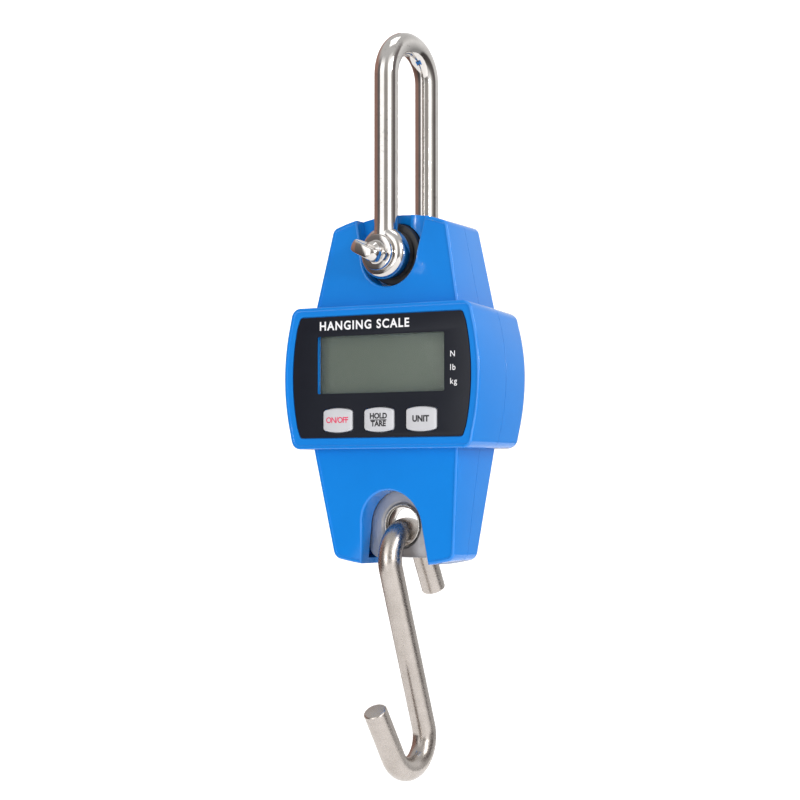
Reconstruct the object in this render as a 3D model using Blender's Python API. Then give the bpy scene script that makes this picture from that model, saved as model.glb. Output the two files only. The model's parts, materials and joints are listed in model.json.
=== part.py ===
"""Crane scale: shackle and pin, load cell, two-part housing, display, keys, batteries and swivelling S-hook.

Units are metres, +Z is up and the display faces -Y. The origin is the inner crown of the shackle,
where the scale is hung from. Shapes are laid out in millimetres about the shackle pin's axis, and
MM turns them into metres. The plane Y = 0 is the joint between the front and the rear shell.
"""

import math

import bmesh
import bpy
from mathutils import Vector

MM = 0.001
GAP = 0.3  # between pieces that touch

# Shackle
ROD_R = 4.0
LEG_Y = 12.25
CROWN_Z = 68.0  # inner crown above the pin's axis
EYE_R = 8.7
PIN_R = 3.9
COLLAR_R = 6.0
TAB_TILT = math.radians(-26.0)

# Housing: box, upper body and lower body
BOX_TOP = -17.2
BOX_BOTTOM = -65.1
BOX_HALF = 39.3
BOX_SIDE_R = 75.5
BOX_CORNER = 3.6
BOX_FRONT = 16.4
BOX_REAR = 14.2
UPPER_TOP = 13.9
WALL = 1.9
SEAM = GAP / 2

# Openings of the housing
CHANNEL_FLOOR = 5.9
CHANNEL_R = 11.1
WASHER_HOLE_R = 10.7
ARCH_Z = -90.9
ARCH_R = 12.0

# Load cell and hook
CELL_HALF = 11.0
FOOT_HALF = 13.2
EYE_HALF = 4.0
WAIST_HALF = 2.1
LOWER_HALF = 3.3
LOWER_EYE_Z = -90.6
BORE_R = 7.3
CELL_BOTTOM = -101.4
HOOK_R = 4.0
BEND_TOP = (0.0, -102.0, 10.0)  # Y, Z and centreline radius of the upper bend
BEND_LOW = (1.0, -162.1, 10.2)
TAIL_ANGLE = math.radians(27.0)
TAIL_LENGTH = 17.0
ARM_ANGLE = math.radians(33.5)
ARM_LENGTH = 19.5

# Front panel
PANEL_TOP = -20.6
PANEL_BOTTOM = -61.3
PANEL_HALF = 35.7
WINDOW = (25.6, -46.5, -27.2)  # half width, lowest Z, highest Z
KEY_Z = -55.5
KEY_PITCH = 16.8
KEY_HALF = (5.9, 4.05)

# Batteries, three in a column behind the load cell
CELL_R = 5.25
CELL_PITCH = 11.6
CELL_Y = 8.9
TUB = (30.0, -60.9, -22.7)

SCREW_SPOTS = {
    "upper": (19.5, -4.0, 5.5),
    "middle": (33.4, -41.1, 8.5),
    "lower": (19.0, -82.0, 3.9),
}
PCB_SPOTS = {"upper": (26.0, -22.0), "lower": (27.0, -58.8)}
SIDES = {"left": -1, "right": 1}


def clear_scene():
    for obj in list(bpy.data.objects):
        bpy.data.objects.remove(obj, do_unlink=True)


def material(name, rgb, roughness, metallic=0.0):
    made = bpy.data.materials.new(name)
    made.use_nodes = True
    shader = made.node_tree.nodes["Principled BSDF"]
    shader.inputs["Base Color"].default_value = (*rgb, 1.0)
    shader.inputs["Roughness"].default_value = roughness
    shader.inputs["Metallic"].default_value = metallic
    made.diffuse_color = (*rgb, 1.0)
    return made


# Meshes, in millimetres -------------------------------------------------------------------------


def loft(rings, closed=False):
    """A solid through rings of equally many points. A closed loft joins the last ring to the first."""
    mesh = bmesh.new()
    rows = [[mesh.verts.new(point) for point in ring] for ring in rings]
    count = len(rows[0])
    pairs = list(zip(rows, rows[1:]))
    if closed:
        pairs.append((rows[-1], rows[0]))
    for low, high in pairs:
        for i in range(count):
            j = (i + 1) % count
            mesh.faces.new((low[i], low[j], high[j], high[i]))
    if not closed:
        mesh.faces.new(rows[0][::-1])
        mesh.faces.new(rows[-1])
    bmesh.ops.recalc_face_normals(mesh, faces=mesh.faces)
    return mesh


def prism(outline, y0, y1):
    """An outline in XZ, extruded along Y."""
    return loft([[(x, y, z) for x, z in outline] for y in (y0, y1)])


def block(x0, x1, y0, y1, z0, z1):
    return prism([(x0, z0), (x1, z0), (x1, z1), (x0, z1)], y0, y1)


def turned(profile, segments, centre=(0.0, 0.0, 0.0), along="Y", closed=False):
    """A profile of (radius, height) points turned about an axis through centre."""
    rings = []
    for radius, height in profile:
        ring = []
        for i in range(segments):
            angle = 2 * math.pi * i / segments
            a, b = radius * math.cos(angle), radius * math.sin(angle)
            point = (a, height, b) if along == "Y" else (height, a, b)
            ring.append(tuple(p + c for p, c in zip(point, centre)))
        rings.append(ring)
    return loft(rings, closed)


def rod(radius, y0, y1, x=0.0, z=0.0, segments=24):
    return turned([(radius, y0), (radius, y1)], segments, (x, 0.0, z))


def swept(path, radius, segments, chamfer=0.0):
    """A round rod along a path of points, with a small chamfer at both ends."""
    points = [Vector(point) for point in path]
    radii = [radius] * len(points)
    if chamfer:
        for end, near in ((0, 1), (-1, -2)):
            inward = (points[near] - points[end]).normalized() * chamfer
            middle = points[end] + inward
            if end == 0:
                points.insert(1, middle)
                radii.insert(0, radius - chamfer)
            else:
                points.insert(len(points) - 1, middle)
                radii.append(radius - chamfer)
    tangents = []
    for i in range(len(points)):
        before = points[max(i - 1, 0)]
        after = points[min(i + 1, len(points) - 1)]
        tangents.append((after - before).normalized())
    side = tangents[0].orthogonal().normalized()
    rings = []
    for point, tangent, size in zip(points, tangents, radii):
        side = (side - tangent * side.dot(tangent)).normalized()
        other = tangent.cross(side)
        ring = []
        for i in range(segments):
            angle = 2 * math.pi * i / segments
            ring.append(tuple(point + (side * math.cos(angle) + other * math.sin(angle)) * size))
        rings.append(ring)
    return loft(rings)


def joined(*meshes):
    """Several meshes as one, for a cutter made of separate bodies."""
    whole = bmesh.new()
    for mesh in meshes:
        verts = {vert: whole.verts.new(vert.co) for vert in mesh.verts}
        for face in mesh.faces:
            whole.faces.new([verts[vert] for vert in face.verts])
        mesh.free()
    return whole


# Outlines in XZ, anticlockwise ------------------------------------------------------------------


def arc(cx, cz, radius, start, end, steps):
    """Points on an arc, angles in degrees from +X towards +Z."""
    points = []
    for i in range(steps + 1):
        angle = math.radians(start + (end - start) * i / steps)
        points.append((cx + radius * math.cos(angle), cz + radius * math.sin(angle)))
    return points


def inset(outline, distance):
    """The outline moved inwards by a distance, or outwards by a negative one."""
    moved = []
    count = len(outline)
    for i in range(count):
        (ax, az), (bx, bz), (cx, cz) = outline[i - 1], outline[i], outline[(i + 1) % count]
        first = Vector((az - bz, bx - ax)).normalized()
        second = Vector((bz - cz, cx - bx)).normalized()
        middle = (first + second).normalized()
        reach = distance / max(middle.dot(first), 0.3)
        moved.append((bx + middle.x * reach, bz + middle.y * reach))
    return moved


def mirrored(right):
    """An outline from its right half, which runs upwards from the bottom to the top."""
    return right + [(-x, z) for x, z in reversed(right)]


def box_outline():
    centre = (BOX_TOP + BOX_BOTTOM) / 2
    reach = (BOX_TOP - BOX_BOTTOM) / 2 - BOX_CORNER
    side = []
    for i in range(7):
        z = centre - reach + 2 * reach * i / 6
        x = BOX_HALF - BOX_SIDE_R + math.sqrt(BOX_SIDE_R**2 - (z - centre) ** 2)
        side.append((x, z))
    corner = side[0][0] - BOX_CORNER
    low = arc(corner, centre - reach, BOX_CORNER, -90, -10, 3)
    high = arc(corner, centre + reach, BOX_CORNER, 10, 90, 3)
    return mirrored(low + side[1:-1] + high)


def body_outline(wide, narrow, z_wide, z_narrow, z_end, corner):
    """A body that tapers away from the box, with round corners and a bowed end."""
    way = 1 if z_narrow > z_wide else -1
    lean = math.degrees(math.atan2(wide - narrow, abs(z_narrow - z_wide)))
    turn = 90 - math.degrees(math.atan2(2 * abs(z_end - z_narrow), narrow))
    bend = arc(narrow - corner, 0.0, corner, lean, turn, 3)
    half = [(wide + (wide - narrow) * 0.27, z_wide - (z_narrow - z_wide) * 0.27)]
    half += [(x, z_narrow + way * (z - corner * 0.55)) for x, z in bend]
    rise = half[-1][1] - z_narrow
    reach = half[-1][0]
    for share in (0.66, 0.33):
        half.append((reach * share, z_narrow + rise + (z_end - z_narrow - rise) * (1 - share**2)))
    if way < 0:
        half.reverse()
    return mirrored(half)


def panel_outline():
    reach = (PANEL_TOP - PANEL_BOTTOM) / 2
    centre = (PANEL_TOP + PANEL_BOTTOM) / 2
    half = [(PANEL_HALF - 4.2, PANEL_BOTTOM), (PANEL_HALF - 3.2, PANEL_BOTTOM + 0.7)]
    for i in range(1, 8):
        z = PANEL_BOTTOM + 2 * reach * i / 8
        half.append((PANEL_HALF - 2.75 * ((z - centre) / reach) ** 2, z))
    half += [(PANEL_HALF - 3.2, PANEL_TOP - 0.7), (PANEL_HALF - 4.2, PANEL_TOP)]
    return mirrored(half)


def key_outline(x, grow=0.0):
    wide, high = KEY_HALF[0] + grow, KEY_HALF[1] + grow
    half = [(wide * share, KEY_Z - high + 0.75 * share**2) for share in (0.3, 0.6, 0.88)]
    half += [(wide, KEY_Z - high + 1.2), (wide, KEY_Z + high - 1.2)]
    half += [(wide * share, KEY_Z + high - 0.75 * share**2) for share in (0.88, 0.6, 0.3)]
    return [(x + px, z) for px, z in mirrored(half)]


def window_outline(grow=0.0):
    half, low, high = WINDOW[0] + grow, WINDOW[1] - grow, WINDOW[2] + grow
    return [(-half, low), (half, low), (half, high), (-half, high)]


def channel_outline():
    """The U that the shackle's eye stands in, open at the top."""
    half = arc(0.0, 0.2, CHANNEL_R, -90, 0, 8)[1:]
    return mirrored(half + [(16.6, 24.0)])


def arch_outline():
    """The arch that the hook's loop stands in, open at the bottom."""
    half = [(14.3, -112.0)] + arc(0.0, ARCH_Z, ARCH_R, 0, 90, 8)[:-1]
    return mirrored(half)


# Objects ----------------------------------------------------------------------------------------


def place(name, mesh, finish, pivot=(0.0, 0.0, 0.0)):
    """An object with its origin at pivot, hung from the empty on the pin's axis."""
    shift = Vector(pivot)
    for vert in mesh.verts:
        vert.co = (vert.co - shift) * MM
    data = bpy.data.meshes.new(name)
    mesh.to_mesh(data)
    mesh.free()
    data.shade_smooth()
    data.set_sharp_from_angle(angle=math.radians(35))
    if finish:
        data.materials.append(finish)
    obj = bpy.data.objects.new(name, data)
    obj.location = shift * MM
    obj.parent = bpy.data.objects["pin_axis"]
    bpy.context.scene.collection.objects.link(obj)
    return obj


def tool(name, mesh):
    """A helper for a Boolean, left out of the render."""
    obj = place(name, mesh, None)
    obj.hide_render = True
    obj.display_type = "WIRE"
    return obj


def combine(obj, other, operation):
    modifier = obj.modifiers.new(other.name, "BOOLEAN")
    modifier.operation = operation
    modifier.solver = "EXACT"
    modifier.object = other
    return obj


def upper_depth(sign, z):
    share = (z - BOX_TOP) / 26.4
    return 12.6 - 2.1 * share if sign < 0 else 10.0 - 0.6 * share


def lower_depth(sign, z):
    share = (BOX_BOTTOM - z) / 35.7
    return 13.4 - 5.1 * share if sign < 0 else 9.9 - 3.5 * share


def box_depth(sign, z):
    return BOX_FRONT if sign < 0 else BOX_REAR


RIM_EDGE = ((0.0, 0.5), (0.5, 0.0), (1.0, 0.0), (1.25, 0.3))
SMALL_EDGE = ((0.0, 1.0), (0.3, 0.3), (1.0, 0.0))
LARGE_EDGE = ((0.0, 3.2), (0.94, 0.94), (3.2, 0.0))


def box_fall(y, z):
    """How far the box's top drops towards the rear."""
    return 0.10 * (y + BOX_FRONT) * min(max((z + 41.15) / 23.9, 0.0), 1.0)


def upper_fall(y, z):
    """How far the upper body's end drops towards the rear."""
    return 0.06 * (y + 12.6) * min(max(z / 9.2, 0.0), 1.0)


def no_fall(y, z):
    return 0.0


def half_block(outline, depth, fall, sign, edge):
    """One side of the housing's outer form, from the joint to its face."""
    rings = [[(x, sign * SEAM, z - fall(sign * SEAM, z)) for x, z in outline]]
    for inwards, back in edge:
        ring = []
        for x, z in inset(outline, inwards):
            y = sign * (depth(sign, z) - back)
            ring.append((x, y, z - fall(y, z)))
        rings.append(ring)
    return loft(rings)


def half_hollow(outline, depth, fall, sign, wall):
    """The space inside half_block, open at the joint."""
    inner = inset(outline, WALL)
    rings = [[(x, -sign * 2.0, z - fall(-sign * 2.0, z)) for x, z in inner]]
    for ring, back in ((inner, wall + 1.0), (inset(inner, 0.4), wall)):
        points = []
        for x, z in ring:
            y = sign * (depth(sign, z) - back)
            points.append((x, y, z - fall(y, z)))
        rings.append(points)
    return loft(rings)


def shell(name, sign, finish):
    """The front (sign -1) or rear (sign +1) half of the housing, without its own details."""
    small, large = (RIM_EDGE, RIM_EDGE) if sign < 0 else (SMALL_EDGE, LARGE_EDGE)
    upper = body_outline(28.8, 23.3, BOX_TOP, 9.2, UPPER_TOP, 2.4)
    lower = body_outline(29.1, 24.4, BOX_BOTTOM, -100.8, -104.4, 3.2)
    obj = place(name, half_block(box_outline(), box_depth, box_fall, sign, large), finish)
    for part, outline, depth, fall in (("upper", upper, upper_depth, upper_fall),
                                       ("lower", lower, lower_depth, no_fall)):
        made = tool(f"{name}_{part}_form", half_block(outline, depth, fall, sign, small))
        combine(obj, made, "UNION")
    wall = 2.5 if sign < 0 else 1.8
    hollow = tool(f"{name}_box_hollow", half_hollow(box_outline(), box_depth, box_fall, sign, wall))
    if sign > 0:
        half, low, high = TUB
        tub = tool("battery_tub", block(-half, half, 2.5, 30.0, low, high))
        combine(hollow, tub, "DIFFERENCE")
    combine(obj, hollow, "DIFFERENCE")
    hollow = tool(f"{name}_upper_hollow", half_hollow(upper, upper_depth, upper_fall, sign, WALL))
    kept = tool(f"{name}_channel_wall", prism(inset(channel_outline(), -1.8), sign * 4.3, sign * 30))
    combine(obj, combine(hollow, kept, "DIFFERENCE"), "DIFFERENCE")
    hollow = tool(f"{name}_lower_hollow", half_hollow(lower, lower_depth, no_fall, sign, WALL))
    reach = 3.6 if sign < 0 else 4.4
    kept = tool(f"{name}_arch_wall", prism(inset(arch_outline(), -1.8), sign * reach, sign * 30))
    combine(obj, combine(hollow, kept, "DIFFERENCE"), "DIFFERENCE")
    return obj


def shell_openings(obj, sign):
    """The channel for the shackle's eye, the hole for its washer and the arch for the hook."""
    name = obj.name
    floor = sign * CHANNEL_FLOOR
    channel = prism(channel_outline(), floor, sign * 30)
    combine(obj, tool(f"{name}_channel", channel), "DIFFERENCE")
    slot = block(-5.6, 5.6, sign * 5.1, sign * 7.0, -8.0, 24.0)
    combine(obj, tool(f"{name}_slot", slot), "DIFFERENCE")
    hole = rod(WASHER_HOLE_R, sign * 3.5, sign * 7.5, segments=32)
    combine(obj, tool(f"{name}_washer_hole", hole), "DIFFERENCE")
    arch = prism(arch_outline(), -sign * 2.0, sign * 30)
    combine(obj, tool(f"{name}_arch", arch), "DIFFERENCE")


def front_shell(finish):
    obj = shell("front_shell", -1, finish)
    posts = []
    bores = []
    for x, z, head in SCREW_SPOTS.values():
        top = {-4.0: 10.8, -41.1: 14.8, -82.0: 10.2}[z]
        for side in SIDES.values():
            posts.append(rod(2.8, -top, -GAP, side * x, z, 12))
            bores.append(rod(1.6, head - 12.8, 1.0, side * x, z, 10))
    for x, z in PCB_SPOTS.values():
        for side in SIDES.values():
            posts.append(rod(1.9, -14.6, -9.1, side * x, z, 8))
            bores.append(rod(1.2, -12.8, -8.0, side * x, z, 8))
    for side in SIDES.values():
        posts.append(rod(3.1, -11.4, -3.6, side * 7.6, -71.8, 12))
        bores.append(rod(1.85, -9.6, -2.0, side * 7.6, -71.8, 10))
    combine(obj, tool("front_posts", joined(*posts)), "UNION")
    combine(obj, tool("front_bores", joined(*bores)), "DIFFERENCE")
    shell_openings(obj, -1)
    recess = tool("panel_recess", prism(inset(panel_outline(), -0.3), -15.5, -30.0))
    combine(obj, recess, "DIFFERENCE")
    holes = [prism(window_outline(0.2), -30.0, -12.0)]
    for i in (-1, 0, 1):
        holes.append(prism(key_outline(i * KEY_PITCH, 0.35), -30.0, -12.0))
    combine(obj, tool("panel_holes", joined(*holes)), "DIFFERENCE")
    return obj


def rear_shell(finish):
    obj = shell("rear_shell", 1, finish)
    posts = []
    bores = []
    for x, z, head in SCREW_SPOTS.values():
        top = {-4.0: 9.0, -41.1: 13.2, -82.0: 7.2}[z]
        for side in SIDES.values():
            posts.append(rod(3.9, GAP, top, side * x, z, 12))
            bores.append(turned([(1.6, -1.0), (1.6, head - 0.3), (2.9, head - 0.3), (2.9, 30.0)],
                                12, (side * x, 0.0, z)))
    combine(obj, tool("rear_posts", joined(*posts)), "UNION")
    combine(obj, tool("rear_bores", joined(*bores)), "DIFFERENCE")
    half, low, high = TUB
    pocket = block(1.6 - half, half - 1.6, 3.4, 30.0, low + 1.4, high - 1.4)
    lead_holes = [turned([(0.95, 27.0), (0.95, 31.0)], 10, (0.0, 7.0, -29.5), "X"),
                  turned([(0.95, -31.0), (0.95, -27.0)], 10, (0.0, 7.0, -29.5), "X")]
    combine(obj, tool("battery_pocket", pocket), "DIFFERENCE")
    combine(obj, tool("lead_holes", joined(*lead_holes)), "DIFFERENCE")
    shell_openings(obj, 1)
    return obj


# Hanging parts ----------------------------------------------------------------------------------


def shackle(finish):
    radius = LEG_Y
    path = [(0.0, -LEG_Y, 1.0)]
    for i in range(13):
        angle = math.pi - math.pi * i / 12
        path.append((0.0, radius * math.cos(angle), CROWN_Z + ROD_R - radius + radius * math.sin(angle)))
    path.append((0.0, LEG_Y, 1.0))
    bow = place("shackle_bow", swept(path, ROD_R, 16), finish, (0.0, 0.0, CROWN_Z))
    eyes = []
    for sign in (-1, 1):
        inner, outer = sign * (LEG_Y - 4.0), sign * (LEG_Y + 4.0)
        profile = [(EYE_R - 0.8, inner), (EYE_R, inner + sign * 1.2),
                   (EYE_R, outer - sign * 1.6), (EYE_R - 1.4, outer)]
        eyes.append(turned(profile, 24))
    combine(bow, tool("shackle_eyes", joined(*eyes)), "UNION")
    combine(bow, tool("shackle_bores", rod(PIN_R + GAP, -30, 30, segments=24)), "DIFFERENCE")
    return bow


def shackle_pin(finish):
    """The screw pin: shank, collar, neck and a flat thumb tab that is turned about the pin's axis."""
    profile = [(3.2, 17.4), (PIN_R, 16.6), (PIN_R, -16.55), (COLLAR_R - 0.3, -16.55),
               (COLLAR_R, -16.9), (COLLAR_R, -18.0), (COLLAR_R - 0.4, -18.4), (3.6, -18.5), (3.4, -20.6)]
    pin = place("shackle_pin", turned(profile, 16), finish)
    half = [(3.2, -19.6), (4.6, -20.6), (5.5, -22.2), (5.7, -23.9), (5.2, -25.4), (3.9, -26.4), (2.0, -26.9)]
    outline = half + [(-x, y) for x, y in reversed(half)]
    rings = []
    for thickness, grow in ((-1.95, 0.88), (-1.2, 1.0), (1.2, 1.0), (1.95, 0.88)):
        ring = []
        for x, y in outline:
            x, y = x * grow, -23.0 + (y + 23.0) * grow
            across = (x * math.cos(TAB_TILT) - thickness * math.sin(TAB_TILT))
            height = (x * math.sin(TAB_TILT) + thickness * math.cos(TAB_TILT))
            ring.append((across, y, height))
        rings.append(ring)
    combine(pin, tool("pin_tab", loft(rings)), "UNION")
    return pin


def load_cell(finish):
    """A steel bar: an eye for the pin, a thin waist with a sensing slot, and a block with the hook's eye."""
    top = arc(0.0, 0.0, 10.5, -5, 185, 14)
    obj = place("load_cell", prism([(-CELL_HALF, -14.6), (CELL_HALF, -14.6)] + top, -EYE_HALF, EYE_HALF), finish)
    waist = block(-CELL_HALF + 0.05, CELL_HALF - 0.05, -WAIST_HALF, WAIST_HALF, -70.0, -12.0)
    low = [(-FOOT_HALF, -68.0)]
    low += arc(-FOOT_HALF + 4.0, CELL_BOTTOM + 4.0, 4.0, 180, 270, 4)
    low += arc(FOOT_HALF - 4.0, CELL_BOTTOM + 4.0, 4.0, 270, 360, 4)
    low.append((FOOT_HALF, -68.0))
    combine(obj, tool("cell_waist", waist), "UNION")
    combine(obj, tool("cell_block", prism(low, -LOWER_HALF, LOWER_HALF)), "UNION")
    slot = arc(0.0, -29.0, 3.4, 0, 180, 6) + arc(0.0, -53.0, 3.4, 180, 360, 6)
    cuts = [rod(PIN_R + GAP + 0.2, -9, 9), rod(BORE_R, -9, 9, z=LOWER_EYE_Z, segments=32),
            prism(slot, -9, 9)]
    cuts += [rod(1.85, -9, 9, side * 7.6, -71.8, 10) for side in SIDES.values()]
    combine(obj, tool("cell_cuts", joined(*cuts)), "DIFFERENCE")
    return obj


def washers(finish):
    for name, sign in (("front", -1), ("rear", 1)):
        inner, outer = sign * 4.3, sign * 7.95
        rim = sign * 0.5
        profile = [(4.3, inner), (10.35, inner), (10.35, outer - rim), (9.9, outer), (4.3, outer)]
        place(f"spacer_washer_{name}", turned(profile, 24, closed=True), finish)


def bush_and_ring(bush_finish, ring_finish):
    """The flared bush that the hook's bend turns in, and the split ring that keeps it in its eye."""
    centre = (0.0, 0.0, LOWER_EYE_Z)
    inner = []
    for i in range(5):
        y = -2.2 + 4.4 * i / 4
        inner.append((LOWER_EYE_Z - BEND_TOP[1] - math.sqrt(5.7**2 - y**2), y))
    profile = [(7.0, 2.2), (7.0, -2.2)] + inner
    pivot = centre
    place("hook_bush", turned(profile, 24, centre, closed=True), bush_finish, pivot)
    rings = []
    for i in range(19):
        angle = math.radians(62.0 + 334.0 * i / 18)
        ring = []
        for radius, y in ((6.62, -3.15), (7.0, -3.15), (7.0, -2.5), (6.62, -2.5)):
            ring.append((radius * math.cos(angle), y, LOWER_EYE_Z + radius * math.sin(angle)))
        rings.append(ring)
    place("retaining_ring", loft(rings), ring_finish, pivot)


def hook_path():
    """The hook's centreline in YZ: tail, upper bend, shank, lower bend and arm."""
    (y1, z1, r1), (y2, z2, r2) = BEND_TOP, BEND_LOW
    apart = math.hypot(y2 - y1, z2 - z1)
    lean = math.asin((r1 + r2) / apart) + math.atan2(y2 - y1, z1 - z2)
    start = (y1 + r1 * math.cos(TAIL_ANGLE), z1 + r1 * math.sin(TAIL_ANGLE))
    path = [(start[0] + TAIL_LENGTH * math.sin(TAIL_ANGLE), start[1] - TAIL_LENGTH * math.cos(TAIL_ANGLE))]
    for i in range(15):
        angle = TAIL_ANGLE + (math.pi + lean - TAIL_ANGLE) * i / 14
        path.append((y1 + r1 * math.cos(angle), z1 + r1 * math.sin(angle)))
    for i in range(15):
        angle = lean - (lean + math.pi - ARM_ANGLE) * i / 14
        path.append((y2 + r2 * math.cos(angle), z2 + r2 * math.sin(angle)))
    path.append((path[-1][0] - ARM_LENGTH * math.sin(ARM_ANGLE), path[-1][1] + ARM_LENGTH * math.cos(ARM_ANGLE)))
    return path


def balanced(path):
    """The path turned about the upper bend's centre until its weight hangs straight below."""
    pivot = Vector(BEND_TOP[:2])
    weight = Vector((0.0, 0.0))
    total = 0.0
    for a, b in zip(path, path[1:]):
        length = (Vector(b) - Vector(a)).length
        weight += (Vector(a) + Vector(b)) / 2 * length
        total += length
    hang = weight / total - pivot
    turn = math.atan2(hang.x, -hang.y)
    cos, sin = math.cos(turn), math.sin(turn)
    turned_path = []
    for y, z in path:
        dy, dz = y - pivot.x, z - pivot.y
        turned_path.append((0.0, pivot.x + dy * cos + dz * sin, pivot.y - dy * sin + dz * cos))
    return turned_path


def hook(finish):
    mesh = swept(balanced(hook_path()), HOOK_R, 16, chamfer=0.6)
    return place("hook", mesh, finish, (0.0, BEND_TOP[0], BEND_TOP[1]))


# Display, keys and electronics ------------------------------------------------------------------


def display(finishes):
    panel = place("overlay_panel", prism(panel_outline(), -16.2, -15.8), finishes["panel"])
    holes = [prism(window_outline(), -30.0, -12.0)]
    for i in (-1, 0, 1):
        holes.append(prism(key_outline(i * KEY_PITCH, 0.3), -30.0, -12.0))
    combine(panel, tool("overlay_holes", joined(*holes)), "DIFFERENCE")
    place("display_window", prism(window_outline(-0.2), -15.3, -14.2), finishes["clear"])
    place("lcd_cell", block(-28.0, 28.0, -13.5, -11.5, -49.4, -24.4), finishes["lcd"])
    place("lcd_backlight", block(-27.5, 27.5, -11.2, -9.1, -46.4, -24.8), finishes["diffuser"])
    place("zebra_strip", block(-27.0, 27.0, -11.2, -9.1, -49.2, -46.8), finishes["rubber"])


def circuit_board(finishes):
    outline = [(-30.0, -61.4), (30.0, -61.4), (30.0, -20.6), (-30.0, -20.6)]
    board = place("main_pcb", prism(outline, -8.8, -7.2), finishes["board"])
    holes = []
    for level, (x, z) in PCB_SPOTS.items():
        for side_name, side in SIDES.items():
            holes.append(rod(1.3, -12.0, -4.0, side * x, z, 8))
            profile = [(0.85, -12.0), (0.85, -6.9), (1.9, -6.9), (1.9, -6.2), (1.5, -5.7)]
            screw = turned(profile, 8, (side * x, 0.0, z))
            place(f"pcb_screw_{level}_{side_name}", screw, finishes["screw"])
    combine(board, tool("board_holes", joined(*holes)), "DIFFERENCE")
    place("controller_chip", block(-6.0, 6.0, -6.9, -5.2, -36.0, -27.0), finishes["chip"])
    place("adc_chip", block(12.0, 17.0, -6.9, -5.4, -46.0, -40.0), finishes["chip"])
    place("crystal_can", block(-19.0, -14.5, -6.9, -4.9, -36.0, -26.0), finishes["screw"])
    for i, name in ((-1, "left"), (0, "middle"), (1, "right")):
        x = i * KEY_PITCH
        body = place(f"tact_switch_{name}", block(x - 3.0, x + 3.0, -10.9, -9.1, KEY_Z - 3.0, KEY_Z + 3.0),
                     finishes["chip"])
        combine(body, tool(f"plunger_{name}", rod(1.6, -11.5, -10.5, x, KEY_Z, 16)), "UNION")


def keys(finish):
    """Three caps, each with a flange behind the housing wall and a stem that presses its switch."""
    for i, name in ((-1, "button_power"), (0, "button_hold_tare"), (1, "button_unit")):
        x = i * KEY_PITCH
        outline = key_outline(x)
        cap = loft([[(px, y, pz) for px, pz in inset(outline, shrink)]
                    for y, shrink in ((-13.2, 0.0), (-16.4, 0.0), (-16.7, 0.15), (-16.85, 0.55))])
        obj = place(name, cap, finish, (x, -13.5, KEY_Z))
        combine(obj, tool(f"{name}_flange", prism(key_outline(x, 0.85), -13.5, -12.9)), "UNION")
        combine(obj, tool(f"{name}_stem", rod(1.5, -13.2, -12.1, x, KEY_Z, 16)), "UNION")


def gauges_and_leads(finishes):
    for name, side in SIDES.items():
        foil = block(side * 7.2 - 1.8, side * 7.2 + 1.8, -WAIST_HALF - 0.7, -WAIST_HALF - 0.3, -45.0, -37.0)
        place(f"strain_gauge_{name}", foil, finishes["foil"])
        x = side * 7.2
        path = [(x, -3.2, -41.0), (x, -4.4, -41.0), (x, -5.4, -41.6), (x, -6.8, -42.4)]
        place(f"gauge_wire_{name}", swept(path, 0.35, 6), finishes["board"])
        screw = [(1.5, -9.0), (1.5, 3.6), (3.0, 3.6), (3.0, 4.6), (2.3, 5.4)]
        place(f"load_cell_screw_{name}", turned(screw, 10, (side * 7.6, 0.0, -71.8)), finishes["screw"])
    for name, side, finish in (("black", -1, "rubber"), ("red", 1, "red")):
        path = [(side * 28.6, 7.0, -29.5), (side * 31.2, 7.0, -29.5), (side * 31.9, 6.3, -29.5),
                (side * 31.9, -4.3, -29.5), (side * 31.2, -5.0, -29.5), (side * 28.0, -5.0, -29.5),
                (side * 27.4, -5.6, -29.5), (side * 27.4, -6.8, -29.5)]
        place(f"battery_lead_{name}", swept(path, 0.6, 6), finishes[finish])


# Battery compartment ----------------------------------------------------------------------------


def spring_path(x0, x1, z):
    """A conical coil from the contact plate at x0 to the battery at x1."""
    points = []
    turns, steps = 3.0, 24
    for i in range(steps + 1):
        share = i / steps
        angle = 2 * math.pi * turns * share
        radius = 3.1 - 1.2 * share
        points.append((x0 + (x1 - x0) * share, CELL_Y + radius * math.cos(angle), z + radius * math.sin(angle)))
    return points


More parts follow.
